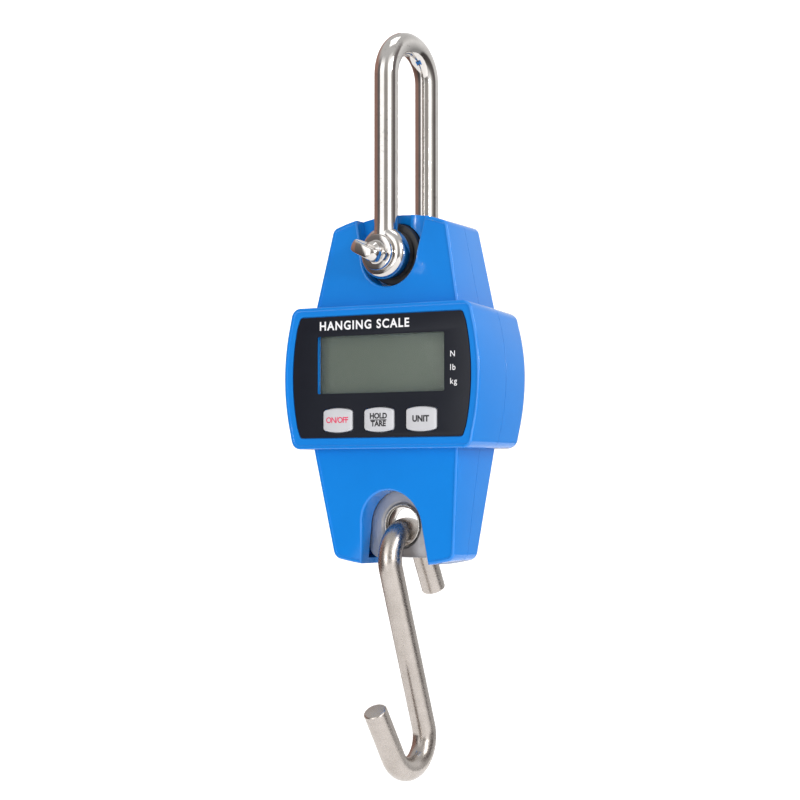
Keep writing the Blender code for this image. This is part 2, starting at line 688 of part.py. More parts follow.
def battery_bay(finishes):
    rows = [((TUB[1] + TUB[2]) / 2 + CELL_PITCH * (1 - i), (1, -1, 1)[i]) for i in range(3)]
    for i, (z, way) in enumerate(rows):
        profile = [(4.6, -22.2), (CELL_R, -21.8), (CELL_R, 20.4), (4.7, 21.0), (1.9, 21.1), (1.9, 22.2)]
        if way < 0:
            profile = [(r, -x) for r, x in profile]
        place(f"battery_{i + 1}", turned(profile, 16, (0.0, CELL_Y, z), "X"), finishes["battery"])
        coil = swept(spring_path(-way * 26.6, -way * 22.9, z), 0.3, 5)
        place(f"contact_spring_{i + 1}", coil, finishes["spring"])
    plates = {
        "left_upper": (-1, rows[0][0] - 4.5, rows[0][0] + 4.5, None),
        "left_lower": (-1, rows[2][0] - 4.5, rows[1][0] + 4.5, rows[1][0]),
        "right_upper": (1, rows[1][0] - 4.5, rows[0][0] + 4.5, rows[0][0]),
        "right_lower": (1, rows[2][0] - 4.5, rows[2][0] + 4.5, rows[2][0]),
    }
    for name, (side, low, high, bump) in plates.items():
        x0, x1 = sorted((side * 27.3, side * 27.7))
        plate = place(f"contact_plate_{name}", block(x0, x1, 4.4, 11.9, low, high), finishes["spring"])
        if bump is not None:
            ends = sorted((side * 27.5, side * 22.6))
            stud = turned([(2.2, ends[0]), (2.2, ends[1])], 14, (0.0, CELL_Y, bump), "X")
            combine(plate, tool(f"stud_{name}", stud), "UNION")
    half, low, high = TUB
    middle = (low + high) / 2
    outline = [(x * (half + 1.6), middle + z * ((high - low) / 2 + 0.6))
               for x, z in ((-1, -1), (1, -1), (1, 1), (-1, 1))]
    rounded = []
    for i, (x, z) in enumerate(outline):
        sx, sz = math.copysign(1, x), math.copysign(1, z - middle)
        start = {(-1, -1): 180, (1, -1): 270, (1, 1): 0, (-1, 1): 90}[(sx, sz)]
        rounded += arc(x - sx * 3.0, z - sz * 3.0, 3.0, start, start + 90, 3)
    rings = [[(x, y, z) for x, z in inset(rounded, shrink)]
             for y, shrink in ((14.5, 0.0), (15.4, 0.0), (15.9, 0.3), (16.1, 0.9))]
    door = place("battery_door", loft(rings), finishes["blue"], (0.0, 14.5, middle))
    lip = block(2.0 - half, half - 2.0, 12.6, 15.0, low + 1.8, high - 1.8)
    combine(door, tool("door_lip", lip), "UNION")
    core = block(3.4 - half, half - 3.4, 10.0, 14.5, low + 3.0, high - 3.0)
    combine(door, tool("door_core", core), "DIFFERENCE")


def housing_screws(finish):
    profile = [(0.9, -11.8), (1.25, -11.0), (1.25, 0.0), (2.5, 0.0), (2.5, 1.3), (1.9, 1.8)]
    for level, (x, z, head) in SCREW_SPOTS.items():
        for side_name, side in SIDES.items():
            screw = turned(profile, 10, (side * x, head, z))
            place(f"housing_screw_{level}_{side_name}", screw, finish)


def main():
    clear_scene()
    axis = bpy.data.objects.new("pin_axis", None)
    axis.location = (0.0, 0.0, -CROWN_Z * MM)
    bpy.context.scene.collection.objects.link(axis)
    finishes = {
        "blue": material("blue_plastic", (0.004, 0.22, 0.73), 0.38),
        "panel": material("panel_film", (0.017, 0.019, 0.022), 0.45),
        "clear": material("clear_window", (0.75, 0.80, 0.76), 0.05),
        "lcd": material("lcd_glass", (0.14, 0.165, 0.14), 0.25),
        "diffuser": material("backlight_diffuser", (0.75, 0.78, 0.74), 0.5),
        "rubber": material("black_rubber", (0.02, 0.02, 0.02), 0.8),
        "key": material("grey_key", (0.74, 0.74, 0.80), 0.45),
        "board": material("circuit_board", (0.02, 0.16, 0.06), 0.5),
        "chip": material("black_resin", (0.02, 0.02, 0.02), 0.6),
        "foil": material("gauge_foil", (0.70, 0.42, 0.15), 0.4),
        "red": material("red_sleeve", (0.55, 0.02, 0.02), 0.5),
        "battery": material("battery_jacket", (0.03, 0.03, 0.03), 0.35),
        "spring": material("nickel_spring", (0.72, 0.70, 0.66), 0.3, 1.0),
        "screw": material("zinc_screw", (0.62, 0.62, 0.62), 0.35, 1.0),
        "shackle": material("polished_stainless", (0.72, 0.69, 0.66), 0.10, 1.0),
        "hook": material("satin_stainless", (0.62, 0.59, 0.56), 0.30, 1.0),
        "cell": material("bare_steel", (0.45, 0.45, 0.47), 0.45, 1.0),
        "washer": material("black_nylon", (0.012, 0.012, 0.014), 0.5),
    }
    shackle(finishes["shackle"])
    shackle_pin(finishes["shackle"])
    load_cell(finishes["cell"])
    washers(finishes["washer"])
    bush_and_ring(finishes["shackle"], finishes["spring"])
    hook(finishes["hook"])
    front_shell(finishes["blue"])
    rear_shell(finishes["blue"])
    display(finishes)
    circuit_board(finishes)
    keys(finishes["key"])
    gauges_and_leads(finishes)
    battery_bay(finishes)
    housing_screws(finishes["screw"])


if __name__ == "__main__":
    main()
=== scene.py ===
"""Looks of a small crane scale: steel shackle, pin, load cell and S-hook, blue housing, display and keys.

Shapes are laid out in millimetres about the shackle pin's axis and turned into metres in the frame,
whose origin is the inner crown of the shackle. +Z is up and the display faces -Y.
"""

from __future__ import annotations

import json
import logging
import math
from dataclasses import dataclass
from enum import Enum
from typing import Any, Callable, Iterable, Sequence

import bmesh
import bpy
from mathutils import Matrix, Vector

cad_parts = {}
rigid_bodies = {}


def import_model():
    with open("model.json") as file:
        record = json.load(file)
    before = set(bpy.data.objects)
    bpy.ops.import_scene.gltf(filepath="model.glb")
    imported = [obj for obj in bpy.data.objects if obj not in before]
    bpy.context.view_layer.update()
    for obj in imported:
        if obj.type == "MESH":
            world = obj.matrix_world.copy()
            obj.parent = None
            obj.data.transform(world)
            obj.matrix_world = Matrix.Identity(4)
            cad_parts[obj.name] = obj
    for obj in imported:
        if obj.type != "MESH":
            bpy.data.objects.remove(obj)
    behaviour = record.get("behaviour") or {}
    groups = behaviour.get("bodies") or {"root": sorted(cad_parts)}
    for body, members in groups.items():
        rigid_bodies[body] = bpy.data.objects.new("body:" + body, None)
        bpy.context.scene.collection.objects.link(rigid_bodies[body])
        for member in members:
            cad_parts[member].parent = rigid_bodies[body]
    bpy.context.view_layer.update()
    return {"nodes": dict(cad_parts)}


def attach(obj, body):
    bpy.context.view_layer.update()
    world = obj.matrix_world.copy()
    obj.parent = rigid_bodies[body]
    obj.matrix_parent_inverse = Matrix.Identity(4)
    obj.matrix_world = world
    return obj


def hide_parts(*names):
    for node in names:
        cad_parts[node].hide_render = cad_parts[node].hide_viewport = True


LOG = logging.getLogger("crane_scale")

MM = 0.001
CROWN = 68.0

Point = tuple[float, float, float]
Flat = tuple[float, float]
Colour = tuple[float, float, float]
Depth = Callable[[float], float]


class Side(Enum):
    """The two halves of the housing, by the way their faces look along Y."""

    FRONT = -1
    REAR = 1


class Body(Enum):
    """The rigid bodies that pieces ride on."""

    SHACKLE = "shackle"
    PIN = "pin"
    HOUSING = "housing"
    SWIVEL = "swivel"
    HOOK = "hook"
    KEY_POWER = "key_power"
    KEY_HOLD = "key_hold_tare"
    KEY_UNIT = "key_unit"
    DOOR = "door"


# Finishes ---------------------------------------------------------------------------------------


class Painter:
    """Lays out the nodes of one material."""

    def __init__(self, name: str) -> None:
        """Start a material.

        Args:
            name: Name of the material.
        """
        self.material = bpy.data.materials.new(name)
        self.material.use_nodes = True
        self.nodes = self.material.node_tree.nodes
        self.links = self.material.node_tree.links
        self.shader = self.nodes["Principled BSDF"]
        self.place = self.add("ShaderNodeTexCoord").outputs["Object"]

    def add(self, kind: str, **values: Any) -> bpy.types.Node:
        """Add a node and set its properties.

        Args:
            kind: Blender's name for the node type.
            values: Properties of the node.

        Returns:
            The new node.
        """
        node = self.nodes.new(kind)
        for key, value in values.items():
            setattr(node, key, value)
        return node

    def link(self, source: Any, target: Any) -> None:
        """Join an output to an input."""
        self.links.new(source, target)

    def stretched(self, scale: Point, turn: float = 0.0) -> Any:
        """Object coordinates scaled per axis.

        Args:
            scale: Factor along X, Y and Z.
            turn: Turn about X, in radians.

        Returns:
            The vector output.
        """
        node = self.add("ShaderNodeMapping")
        node.inputs["Scale"].default_value = scale
        node.inputs["Rotation"].default_value = (turn, 0.0, 0.0)
        self.link(self.place, node.inputs["Vector"])
        return node.outputs["Vector"]

    def noise(self, vector: Any, scale: float, detail: float = 4.0, roughness: float = 0.55) -> Any:
        """A noise pattern.

        Args:
            vector: Where it is read.
            scale: Cells per metre.
            detail: Number of octaves.
            roughness: Weight of the finer octaves.

        Returns:
            The value output.
        """
        node = self.add("ShaderNodeTexNoise")
        node.inputs["Scale"].default_value = scale
        node.inputs["Detail"].default_value = detail
        node.inputs["Roughness"].default_value = roughness
        self.link(vector, node.inputs["Vector"])
        return node.outputs["Fac"]

    def spread(self, value: Any, low: float, high: float, start: float = 0.3, end: float = 0.7) -> Any:
        """Map a pattern's middle onto a range.

        Args:
            value: The pattern.
            low: Result at start.
            high: Result at end.
            start: Pattern value that gives low.
            end: Pattern value that gives high.

        Returns:
            The mapped value output.
        """
        node = self.add("ShaderNodeMapRange")
        for key, number in zip(("From Min", "From Max", "To Min", "To Max"), (start, end, low, high)):
            node.inputs[key].default_value = number
        self.link(value, node.inputs["Value"])
        return node.outputs["Result"]

    def mixed(self, share: Any, first: Any, second: Any) -> Any:
        """Mix two colours by a pattern.

        Args:
            share: How much of the second colour.
            first: A colour, or an output that gives one.
            second: A colour, or an output that gives one.

        Returns:
            The colour output.
        """
        node = self.add("ShaderNodeMix", data_type="RGBA")
        self.link(share, node.inputs[0])
        for socket, colour in ((node.inputs[6], first), (node.inputs[7], second)):
            if isinstance(colour, tuple):
                socket.default_value = (*colour, 1.0)
            else:
                self.link(colour, socket)
        return node.outputs[2]

    def relief(self, value: Any, strength: float, distance: float, under: Any = None) -> Any:
        """A bump from a pattern.

        Args:
            value: The pattern.
            strength: Share of the bump that shows.
            distance: Height of the bump in metres.
            under: An earlier bump to add to.

        Returns:
            The normal output.
        """
        node = self.add("ShaderNodeBump")
        node.inputs["Strength"].default_value = strength
        node.inputs["Distance"].default_value = distance
        self.link(value, node.inputs["Height"])
        if under is not None:
            self.link(under, node.inputs["Normal"])
        return node.outputs["Normal"]


@dataclass(frozen=True)
class Finish:
    """A finish with mottled colour, uneven gloss and a fine relief.

    Attributes:
        name: Name of the material.
        slot: The record's material slot; not used.
        colour: Main colour.
        tint: Colour of the mottling.
        mottle: Cells of mottling per metre.
        gloss: Lowest and highest roughness.
        grain: Cells of grain per metre.
        strength: Share of the relief that shows.
        height: Height of the relief in metres.
        metallic: 1 for a metal.
        coat: Strength of a clear coat.
        stretch: Factor on the grain along X, Y and Z.
        alpha: Below 1 for a clear piece.
        specular: Strength of the surface reflection.
    """

    name: str
    slot: str
    colour: Colour
    tint: Colour
    mottle: float = 90.0
    gloss: Flat = (0.3, 0.4)
    grain: float = 2500.0
    strength: float = 0.1
    height: float = 0.00004
    metallic: float = 0.0
    coat: float = 0.0
    stretch: Point = (1.0, 1.0, 1.0)
    alpha: float = 1.0
    specular: float = 0.5

    def paint(self, painter: Painter) -> None:
        """Lay out this finish's nodes."""
        shader = painter.shader
        shader.inputs["Metallic"].default_value = self.metallic
        shader.inputs["Coat Weight"].default_value = self.coat
        shader.inputs["Coat Roughness"].default_value = 0.08
        shader.inputs["Alpha"].default_value = self.alpha
        shader.inputs["Specular IOR Level"].default_value = self.specular
        where = painter.stretched(self.stretch)
        mottle = painter.spread(painter.noise(painter.place, self.mottle), 0.0, 1.0)
        painter.link(painter.mixed(mottle, self.colour, self.tint), shader.inputs["Base Color"])
        grain = painter.noise(where, self.grain)
        painter.link(painter.spread(grain, *self.gloss), shader.inputs["Roughness"])
        painter.link(painter.relief(grain, self.strength, self.height), shader.inputs["Normal"])

    def material(self) -> bpy.types.Material:
        """The material, made once."""
        found = bpy.data.materials.get(self.name)
        if found:
            return found
        painter = Painter(self.name)
        self.paint(painter)
        return painter.material


@dataclass(frozen=True)
class WornSteel(Finish):
    """Steel with pits, handling marks and long drawn streaks.

    Attributes:
        pits: Pits per metre.
        pitting: Share of the pits that shows.
        streak: How strongly the drawn streaks show.
    """

    pits: float = 900.0
    pitting: float = 0.3
    streak: float = 0.1

    def paint(self, painter: Painter) -> None:
        """Lay out the steel's nodes."""
        super().paint(painter)
        shader = painter.shader
        cells = painter.add("ShaderNodeTexVoronoi")
        cells.inputs["Scale"].default_value = self.pits
        cells.inputs["Randomness"].default_value = 1.0
        painter.link(painter.place, cells.inputs["Vector"])
        pits = painter.spread(cells.outputs["Distance"], 1.0, 0.0, 0.0, 0.32)
        thin = painter.spread(painter.noise(painter.place, self.pits * 0.35, 2.0), 0.0, 1.0, 0.5, 0.62)
        marks = painter.add("ShaderNodeMath", operation="MULTIPLY")
        painter.link(pits, marks.inputs[0])
        painter.link(thin, marks.inputs[1])
        long_grain = painter.noise(painter.stretched((1.0, 1.0, 0.05)), self.grain, 3.0)
        base = shader.inputs["Normal"].links[0].from_socket
        streaks = painter.relief(long_grain, self.streak, 0.00003, base)
        painter.link(painter.relief(marks.outputs[0], -self.pitting, 0.00005, streaks), shader.inputs["Normal"])
        shade = painter.spread(marks.outputs[0], 0.0, 0.55, 0.0, 1.0)
        colour = shader.inputs["Base Color"].links[0].from_socket
        dark = tuple(channel * 0.45 for channel in self.colour)
        painter.link(painter.mixed(shade, colour, dark), shader.inputs["Base Color"])


@dataclass(frozen=True)
class ShadedLiquidCrystal(Finish):
    """An unlit liquid crystal cell: grey-green, with painted shade that darkens it towards its left and a painted
    black shadow along its left edge, where the bezel shades it.
    """

    def paint(self, painter: Painter) -> None:
        """Lay out the cell's nodes."""
        super().paint(painter)
        axes = painter.add("ShaderNodeSeparateXYZ")
        painter.link(painter.place, axes.inputs["Vector"])
        # Painted shade: a ramp darkens the cell towards its left, and a narrow painted black shadow band lies at
        # its far left edge, where the bezel shades it.
        across = painter.spread(axes.outputs["X"], 0.55, 0.0, -0.027, 0.012)
        edge = painter.spread(axes.outputs["X"], 1.0, 0.0, -0.0262, -0.0215)
        colour = painter.shader.inputs["Base Color"].links[0].from_socket
        # dark is the tone of the painted shade, black the tone of the painted bezel shadow.
        dark, black = (tuple(channel * share for channel in self.colour) for share in (0.72, 0.35))
        shaded = painter.mixed(across, colour, dark)
        painter.link(painter.mixed(edge, shaded, black), painter.shader.inputs["Base Color"])


@dataclass(frozen=True)
class CellJacket(Finish):
    """A plain battery jacket with a coloured end band.

    Attributes:
        band: Colour of the band.
    """

    band: Colour = (0.55, 0.42, 0.18)

    def paint(self, painter: Painter) -> None:
        """Lay out the jacket's nodes."""
        super().paint(painter)
        axes = painter.add("ShaderNodeSeparateXYZ")
        painter.link(painter.place, axes.inputs["Vector"])
        end = painter.spread(axes.outputs["X"], 0.0, 1.0, 0.0100, 0.0101)
        colour = painter.shader.inputs["Base Color"].links[0].from_socket
        painter.link(painter.mixed(end, colour, self.band), painter.shader.inputs["Base Color"])


@dataclass(frozen=True)
class Laminate(Finish):
    """A circuit board with darker tracks under its mask."""

    def paint(self, painter: Painter) -> None:
        """Lay out the board's nodes."""
        super().paint(painter)
        tracks = painter.add("ShaderNodeTexBrick")
        tracks.inputs["Scale"].default_value = 160.0
        tracks.inputs["Mortar Size"].default_value = 0.035
        tracks.inputs["Color1"].default_value = (*self.colour, 1.0)
        tracks.inputs["Color2"].default_value = (*self.tint, 1.0)
        tracks.inputs["Mortar"].default_value = (0.09, 0.30, 0.10, 1.0)
        painter.link(painter.stretched((1.0, 1.0, 1.0), math.pi / 2), tracks.inputs["Vector"])
        painter.link(tracks.outputs["Color"], painter.shader.inputs["Base Color"])


BLUE = Finish("moulded_blue", "blue", (0.003, 0.200, 0.660), (0.004, 0.215, 0.700), 35.0, (0.11, 0.15),
              900.0, 0.02, 0.00002, coat=0.35, specular=0.5)
FILM = Finish("printed_film", "panel", (0.0080, 0.0098, 0.0160), (0.0100, 0.0118, 0.0185), 60.0,
              (0.34, 0.42), 4000.0, 0.06, 0.00002, specular=0.2)
CLEAR = Finish("clear_window", "clear", (0.145, 0.170, 0.145), (0.155, 0.180, 0.155), 50.0, (0.05, 0.06),
               400.0, 0.0, 0.00001, alpha=0.12)
CRYSTAL = ShadedLiquidCrystal("liquid_crystal", "lcd", (0.140, 0.172, 0.142), (0.148, 0.181, 0.150), 45.0,
                        (0.25, 0.28), 900.0, 0.0, 0.00001, coat=0.1)
KEYCAP = Finish("key_silicone", "key", (0.56, 0.565, 0.59), (0.53, 0.535, 0.56), 150.0, (0.38, 0.50),
                3500.0, 0.08, 0.00002)
INK_WHITE = Finish("ink_white", "key", (0.88, 0.88, 0.90), (0.80, 0.80, 0.83), 500.0, (0.45, 0.60), 5000.0)
INK_BLACK = Finish("ink_black", "panel", (0.016, 0.016, 0.020), (0.030, 0.030, 0.034), 500.0, (0.45, 0.60), 5000.0)
INK_RED = Finish("ink_red", "red", (0.72, 0.035, 0.120), (0.60, 0.030, 0.100), 500.0, (0.45, 0.60), 5000.0)
SHINY = WornSteel("polished_stainless", "shackle", (0.68, 0.655, 0.63), (0.60, 0.575, 0.55), 120.0, (0.06, 0.13),
                  1100.0, 0.10, 0.00005, 1.0, pits=700.0, pitting=0.22, streak=0.05)
SATIN = WornSteel("satin_stainless", "hook", (0.53, 0.485, 0.45), (0.45, 0.41, 0.375), 160.0, (0.20, 0.36),
                  1600.0, 0.20, 0.00006, 1.0, pits=2200.0, pitting=0.45, streak=0.12)
MACHINED = WornSteel("machined_steel", "cell", (0.42, 0.42, 0.44), (0.33, 0.33, 0.35), 220.0, (0.34, 0.50),
                     1700.0, 0.75, 0.00010, 1.0, pits=1500.0, pitting=0.4, streak=0.2)
# Black nylon of the spacer washers; the black also stands in for the shade in the channel round the shackle's eye.
NYLON_AND_SHADE = Finish("black_nylon", "washer", (0.012, 0.012, 0.014), (0.020, 0.020, 0.022), 200.0, (0.42, 0.55),
               3000.0, 0.2)
ZINC = WornSteel("zinc_screw", "screw", (0.60, 0.60, 0.62), (0.50, 0.50, 0.52), 300.0, (0.25, 0.38),
                 3000.0, 0.15, 0.00004, 1.0, pits=2000.0, pitting=0.2)
SPRING = WornSteel("nickel_spring", "spring", (0.72, 0.70, 0.66), (0.62, 0.60, 0.56), 300.0, (0.18, 0.28),
                   3000.0, 0.1, 0.00003, 1.0, pits=2000.0, pitting=0.15)
JACKET = CellJacket("battery_jacket", "battery", (0.025, 0.026, 0.030), (0.035, 0.036, 0.040), 80.0, (0.22, 0.30),
                    2000.0, 0.04, 0.00002, coat=0.2)
BOARD = Laminate("circuit_board", "board", (0.018, 0.150, 0.050), (0.024, 0.175, 0.062), 100.0, (0.30, 0.42),
                 2500.0, 0.1, 0.00002)
RESIN = Finish("black_resin", "chip", (0.018, 0.018, 0.020), (0.028, 0.028, 0.030), 500.0, (0.45, 0.60),
               4000.0, 0.2)
RUBBER = Finish("black_rubber", "rubber", (0.015, 0.015, 0.016), (0.025, 0.025, 0.026), 400.0, (0.60, 0.75),
                3000.0, 0.2)
SLEEVE = Finish("red_sleeve", "red", (0.50, 0.018, 0.016), (0.42, 0.015, 0.014), 300.0, (0.35, 0.45), 2500.0, 0.1)
FOIL = Finish("gauge_foil", "foil", (0.55, 0.30, 0.09), (0.45, 0.24, 0.07), 900.0, (0.30, 0.45), 5000.0, 0.1)
MILKY = Finish("backlight_diffuser", "diffuser", (0.72, 0.75, 0.71), (0.66, 0.69, 0.65), 200.0, (0.45, 0.55),
               2500.0)


# Meshes, in millimetres -------------------------------------------------------------------------


def loft(rings: Sequence[Sequence[Point]], closed: bool = False) -> bmesh.types.BMesh:
    """Make a solid through rings of equally many points.

    Args:
        rings: The rings, in order.
        closed: Join the last ring to the first.

    Returns:
        The mesh, with its faces pointing out.
    """
    mesh = bmesh.new()
    rows = [[mesh.verts.new(point) for point in ring] for ring in rings]
    count = len(rows[0])
    pairs = list(zip(rows, rows[1:]))
    if closed:
        pairs.append((rows[-1], rows[0]))
    for low, high in pairs:
        for i in range(count):
            j = (i + 1) % count
            mesh.faces.new((low[i], low[j], high[j], high[i]))
    if not closed:
        mesh.faces.new(rows[0][::-1])
        mesh.faces.new(rows[-1])
    bmesh.ops.recalc_face_normals(mesh, faces=mesh.faces)
    return mesh


def prism(outline: Sequence[Flat], y0: float, y1: float, soften: float = 0.0, steps: int = 3) -> bmesh.types.BMesh:
    """Extrude an outline in XZ along Y.

    Args:
        outline: The outline, anticlockwise.
        y0: One end.
        y1: The other end.
        soften: Radius of the rounding at both ends.
        steps: Steps in each rounding.

    Returns:
        The mesh.
    """
    if not soften:
        return loft([[(x, y, z) for x, z in outline] for y in (y0, y1)])
    way = math.copysign(soften, y1 - y0)
    stations: list[Flat] = []
    for i in range(steps + 1):
        angle = math.pi / 2 * i / steps
        stations.append((soften * (1 - math.sin(angle)), way * (1 - math.cos(angle))))
    rings = [[(x, y0 + back, z) for x, z in inset(outline, shrink)] for shrink, back in stations]
    rings += [[(x, y1 - back, z) for x, z in inset(outline, shrink)] for shrink, back in reversed(stations)]
    return loft(rings)


def block(x: Flat, y: Flat, z: Flat) -> bmesh.types.BMesh:
    """A plain block from its limits along each axis."""
    return prism([(x[0], z[0]), (x[1], z[0]), (x[1], z[1]), (x[0], z[1])], *y)


def turned(profile: Sequence[Flat], segments: int, centre: Point = (0.0, 0.0, 0.0),
           closed: bool = False, along_x: bool = False) -> bmesh.types.BMesh:
    """Turn a profile about an axis.

    Args:
        profile: Points of radius and height.
        segments: Segments round the axis.
        centre: A point on the axis.
        closed: The profile is a loop clear of the axis.
        along_x: The axis is along X in place of Y.

    Returns:
        The mesh.
    """
    rings = []
    for radius, height in profile:
        ring = []
        for i in range(segments):
            angle = 2 * math.pi * i / segments
            a, b = radius * math.cos(angle), radius * math.sin(angle)
            point = (height, a, b) if along_x else (a, height, b)
            ring.append(tuple(p + c for p, c in zip(point, centre)))
        rings.append(ring)
    return loft(rings, closed)


def rod(radius: float, y: Flat, x: float = 0.0, z: float = 0.0, segments: int = 48) -> bmesh.types.BMesh:
    """A plain rod along Y."""
    return turned([(radius, y[0]), (radius, y[1])], segments, (x, 0.0, z))


def swept(path: Sequence[Point], radii: Sequence[float], segments: int) -> bmesh.types.BMesh:
    """Sweep a round section along a path.

    Args:
        path: Points of the centreline.
        radii: Radius at each point.
        segments: Segments round the section.

    Returns:
        The mesh.
    """
    points = [Vector(point) for point in path]
    last = len(points) - 1
    tangents = [(points[min(i + 1, last)] - points[max(i - 1, 0)]).normalized() for i in range(last + 1)]
    side = tangents[0].orthogonal().normalized()
    rings = []
    for point, tangent, radius in zip(points, tangents, radii):
        side = (side - tangent * side.dot(tangent)).normalized()
        other = tangent.cross(side)
        ring = []
        for i in range(segments):
            angle = 2 * math.pi * i / segments
            ring.append(tuple(point + (side * math.cos(angle) + other * math.sin(angle)) * radius))
        rings.append(ring)
    return loft(rings)


def rounded_ends(path: list[Point], radius: float, edge: float) -> tuple[list[Point], list[float]]:
    """Add stations that round both ends of a rod.

    Args:
        path: Points of the centreline.
        radius: Radius of the rod.
        edge: Radius of the rounding.

    Returns:
        The longer path and the radius at each of its points.
    """
    steps = [math.pi / 2 * i / 5 for i in range(6)]
    head = [(edge * (1 - math.cos(angle)), radius - edge + edge * math.sin(angle)) for angle in steps]
    start, after = Vector(path[0]), Vector(path[1])
    end, before = Vector(path[-1]), Vector(path[-2])
    first = [(tuple(start + (after - start).normalized() * back), size) for back, size in head]
    tail = [(tuple(end + (before - end).normalized() * back), size) for back, size in reversed(head)]
    stations = first + [(point, radius) for point in path[1:-1]] + tail
    return [point for point, _ in stations], [size for _, size in stations]


def joined(meshes: Iterable[bmesh.types.BMesh]) -> bmesh.types.BMesh:
    """Several meshes as one.

    Args:
        meshes: The meshes, which are used up.

    Returns:
        One mesh that holds them all.
    """
    whole = bmesh.new()
    for mesh in meshes:
        verts = {vert: whole.verts.new(vert.co) for vert in mesh.verts}
        for face in mesh.faces:
            whole.faces.new([verts[vert] for vert in face.verts])
        mesh.free()
    return whole


def arc(centre: Flat, radius: float, start: float, end: float, steps: int) -> list[Flat]:
    """Points on an arc.

    Args:
        centre: Its centre in XZ.
        radius: Its radius.
        start: First angle in degrees, from +X towards +Z.
        end: Last angle in degrees.
        steps: Number of steps.

    Returns:
        The points.
    """
    points = []
    for i in range(steps + 1):
        angle = math.radians(start + (end - start) * i / steps)
        points.append((centre[0] + radius * math.cos(angle), centre[1] + radius * math.sin(angle)))
    return points


def inset(outline: Sequence[Flat], distance: float) -> list[Flat]:
    """Move an outline inwards, or outwards by a negative distance.

    Args:
        outline: The outline, anticlockwise.
        distance: How far it moves.

    Returns:
        The moved outline.
    """
    moved = []
    count = len(outline)
    for i in range(count):
        (ax, az), (bx, bz), (cx, cz) = outline[i - 1], outline[i], outline[(i + 1) % count]
        first = Vector((az - bz, bx - ax)).normalized()
        second = Vector((bz - cz, cx - bx)).normalized()
        middle = (first + second).normalized()
        reach = distance / max(middle.dot(first), 0.3)
        moved.append((bx + middle.x * reach, bz + middle.y * reach))
    return moved


def mirrored(right: list[Flat]) -> list[Flat]:
    """An outline from its right half, which runs upwards."""
    return right + [(-x, z) for x, z in reversed(right)]


def rounded_box(x: Flat, z: Flat, radius: float, steps: int = 6) -> list[Flat]:
    """An outline with four round corners.

    Args:
        x: Limits along X.
        z: Limits along Z.
        radius: Radius of the corners.
        steps: Steps in each corner.

    Returns:
        The outline.
    """
    corners = ((x[1], z[0], -90), (x[1], z[1], 0), (x[0], z[1], 90), (x[0], z[0], 180))
    outline: list[Flat] = []
    for cx, cz, start in corners:
        inner = (cx - math.copysign(radius, cx - (x[0] + x[1]) / 2),
                 cz - math.copysign(radius, cz - (z[0] + z[1]) / 2))
        outline += arc(inner, radius, start, start + 90, steps)
    return outline


def to_mesh(name: str, form: bmesh.types.BMesh, sharp: float = 32.0) -> bpy.types.Mesh:
    """Place a form in the frame, in metres, and shade it.

    Args:
        name: Name of the mesh.
        form: The form, which is used up.
        sharp: Edges sharper than this many degrees stay crisp.

    Returns:
        The mesh.
    """
    for vert in form.verts:
        vert.co = Vector((vert.co.x, vert.co.y, vert.co.z - CROWN)) * MM
    mesh = bpy.data.meshes.new(name)
    form.to_mesh(mesh)
    form.free()
    mesh.shade_smooth()
    mesh.set_sharp_from_angle(angle=math.radians(sharp))
    return mesh


class Workshop:
    """Keeps helper objects while a piece is carved, and puts finished pieces on their bodies."""

    def __init__(self) -> None:
        """Start with an empty bench."""
        self.helpers: list[bpy.types.Object] = []

    def helper(self, form: bmesh.types.BMesh) -> bpy.types.Object:
        """An object that is only used to make another."""
        obj = bpy.data.objects.new("helper", to_mesh("helper", form))
        bpy.context.scene.collection.objects.link(obj)
        self.helpers.append(obj)
        return obj

    def carve(self, name: str, form: bmesh.types.BMesh, steps: Sequence[tuple[str, bpy.types.Object]],
              sharp: float = 32.0) -> bpy.types.Mesh:
        """Join helpers to a form and cut helpers from it.

        Args:
            name: Name of the mesh.
            form: The form to start from.
            steps: An operation and its helper, in order.
            sharp: Edges sharper than this many degrees stay crisp.

        Returns:
            The carved mesh.
        """
        base = self.helper(form)
        self.stack(base, steps)
        graph = bpy.context.evaluated_depsgraph_get()
        mesh = bpy.data.meshes.new_from_object(base.evaluated_get(graph))
        mesh.name = name
        mesh.shade_smooth()
        mesh.set_sharp_from_angle(angle=math.radians(sharp))
        return mesh

    def stack(self, base: bpy.types.Object, steps: Sequence[tuple[str, bpy.types.Object]]) -> bpy.types.Object:
        """Put Boolean modifiers on a helper.

        Args:
            base: The helper.
            steps: An operation and its helper, in order.

        Returns:
            The same helper.
        """
        for operation, other in steps:
            modifier = base.modifiers.new(operation, "BOOLEAN")
            modifier.operation = operation
            modifier.solver = "EXACT"
            modifier.object = other
        return base

    def clear(self) -> None:
        """Remove the helpers."""
        for obj in self.helpers:
            bpy.data.objects.remove(obj, do_unlink=True)
        self.helpers.clear()

    def put(self, name: str, mesh: bpy.types.Mesh, finish: Finish, body: Body, *nodes: str) -> bpy.types.Object:
        """Finish a piece and let it ride on its body.

        Args:
            name: Name of the piece.
            mesh: Its mesh, in place.
            finish: Its finish.
            body: The body that carries it.
            nodes: Nodes of the frame that it stands for.

        Returns:
            The piece.
        """
        mesh.materials.clear()
        mesh.materials.append(finish.material())
        obj = bpy.data.objects.new(name, mesh)
        bpy.context.scene.collection.objects.link(obj)
        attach(obj, body.value)
        if nodes:
            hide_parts(*nodes)
        LOG.info("%s rides on %s", name, body.value)
        return obj


# Geometry Nodes ---------------------------------------------------------------------------------


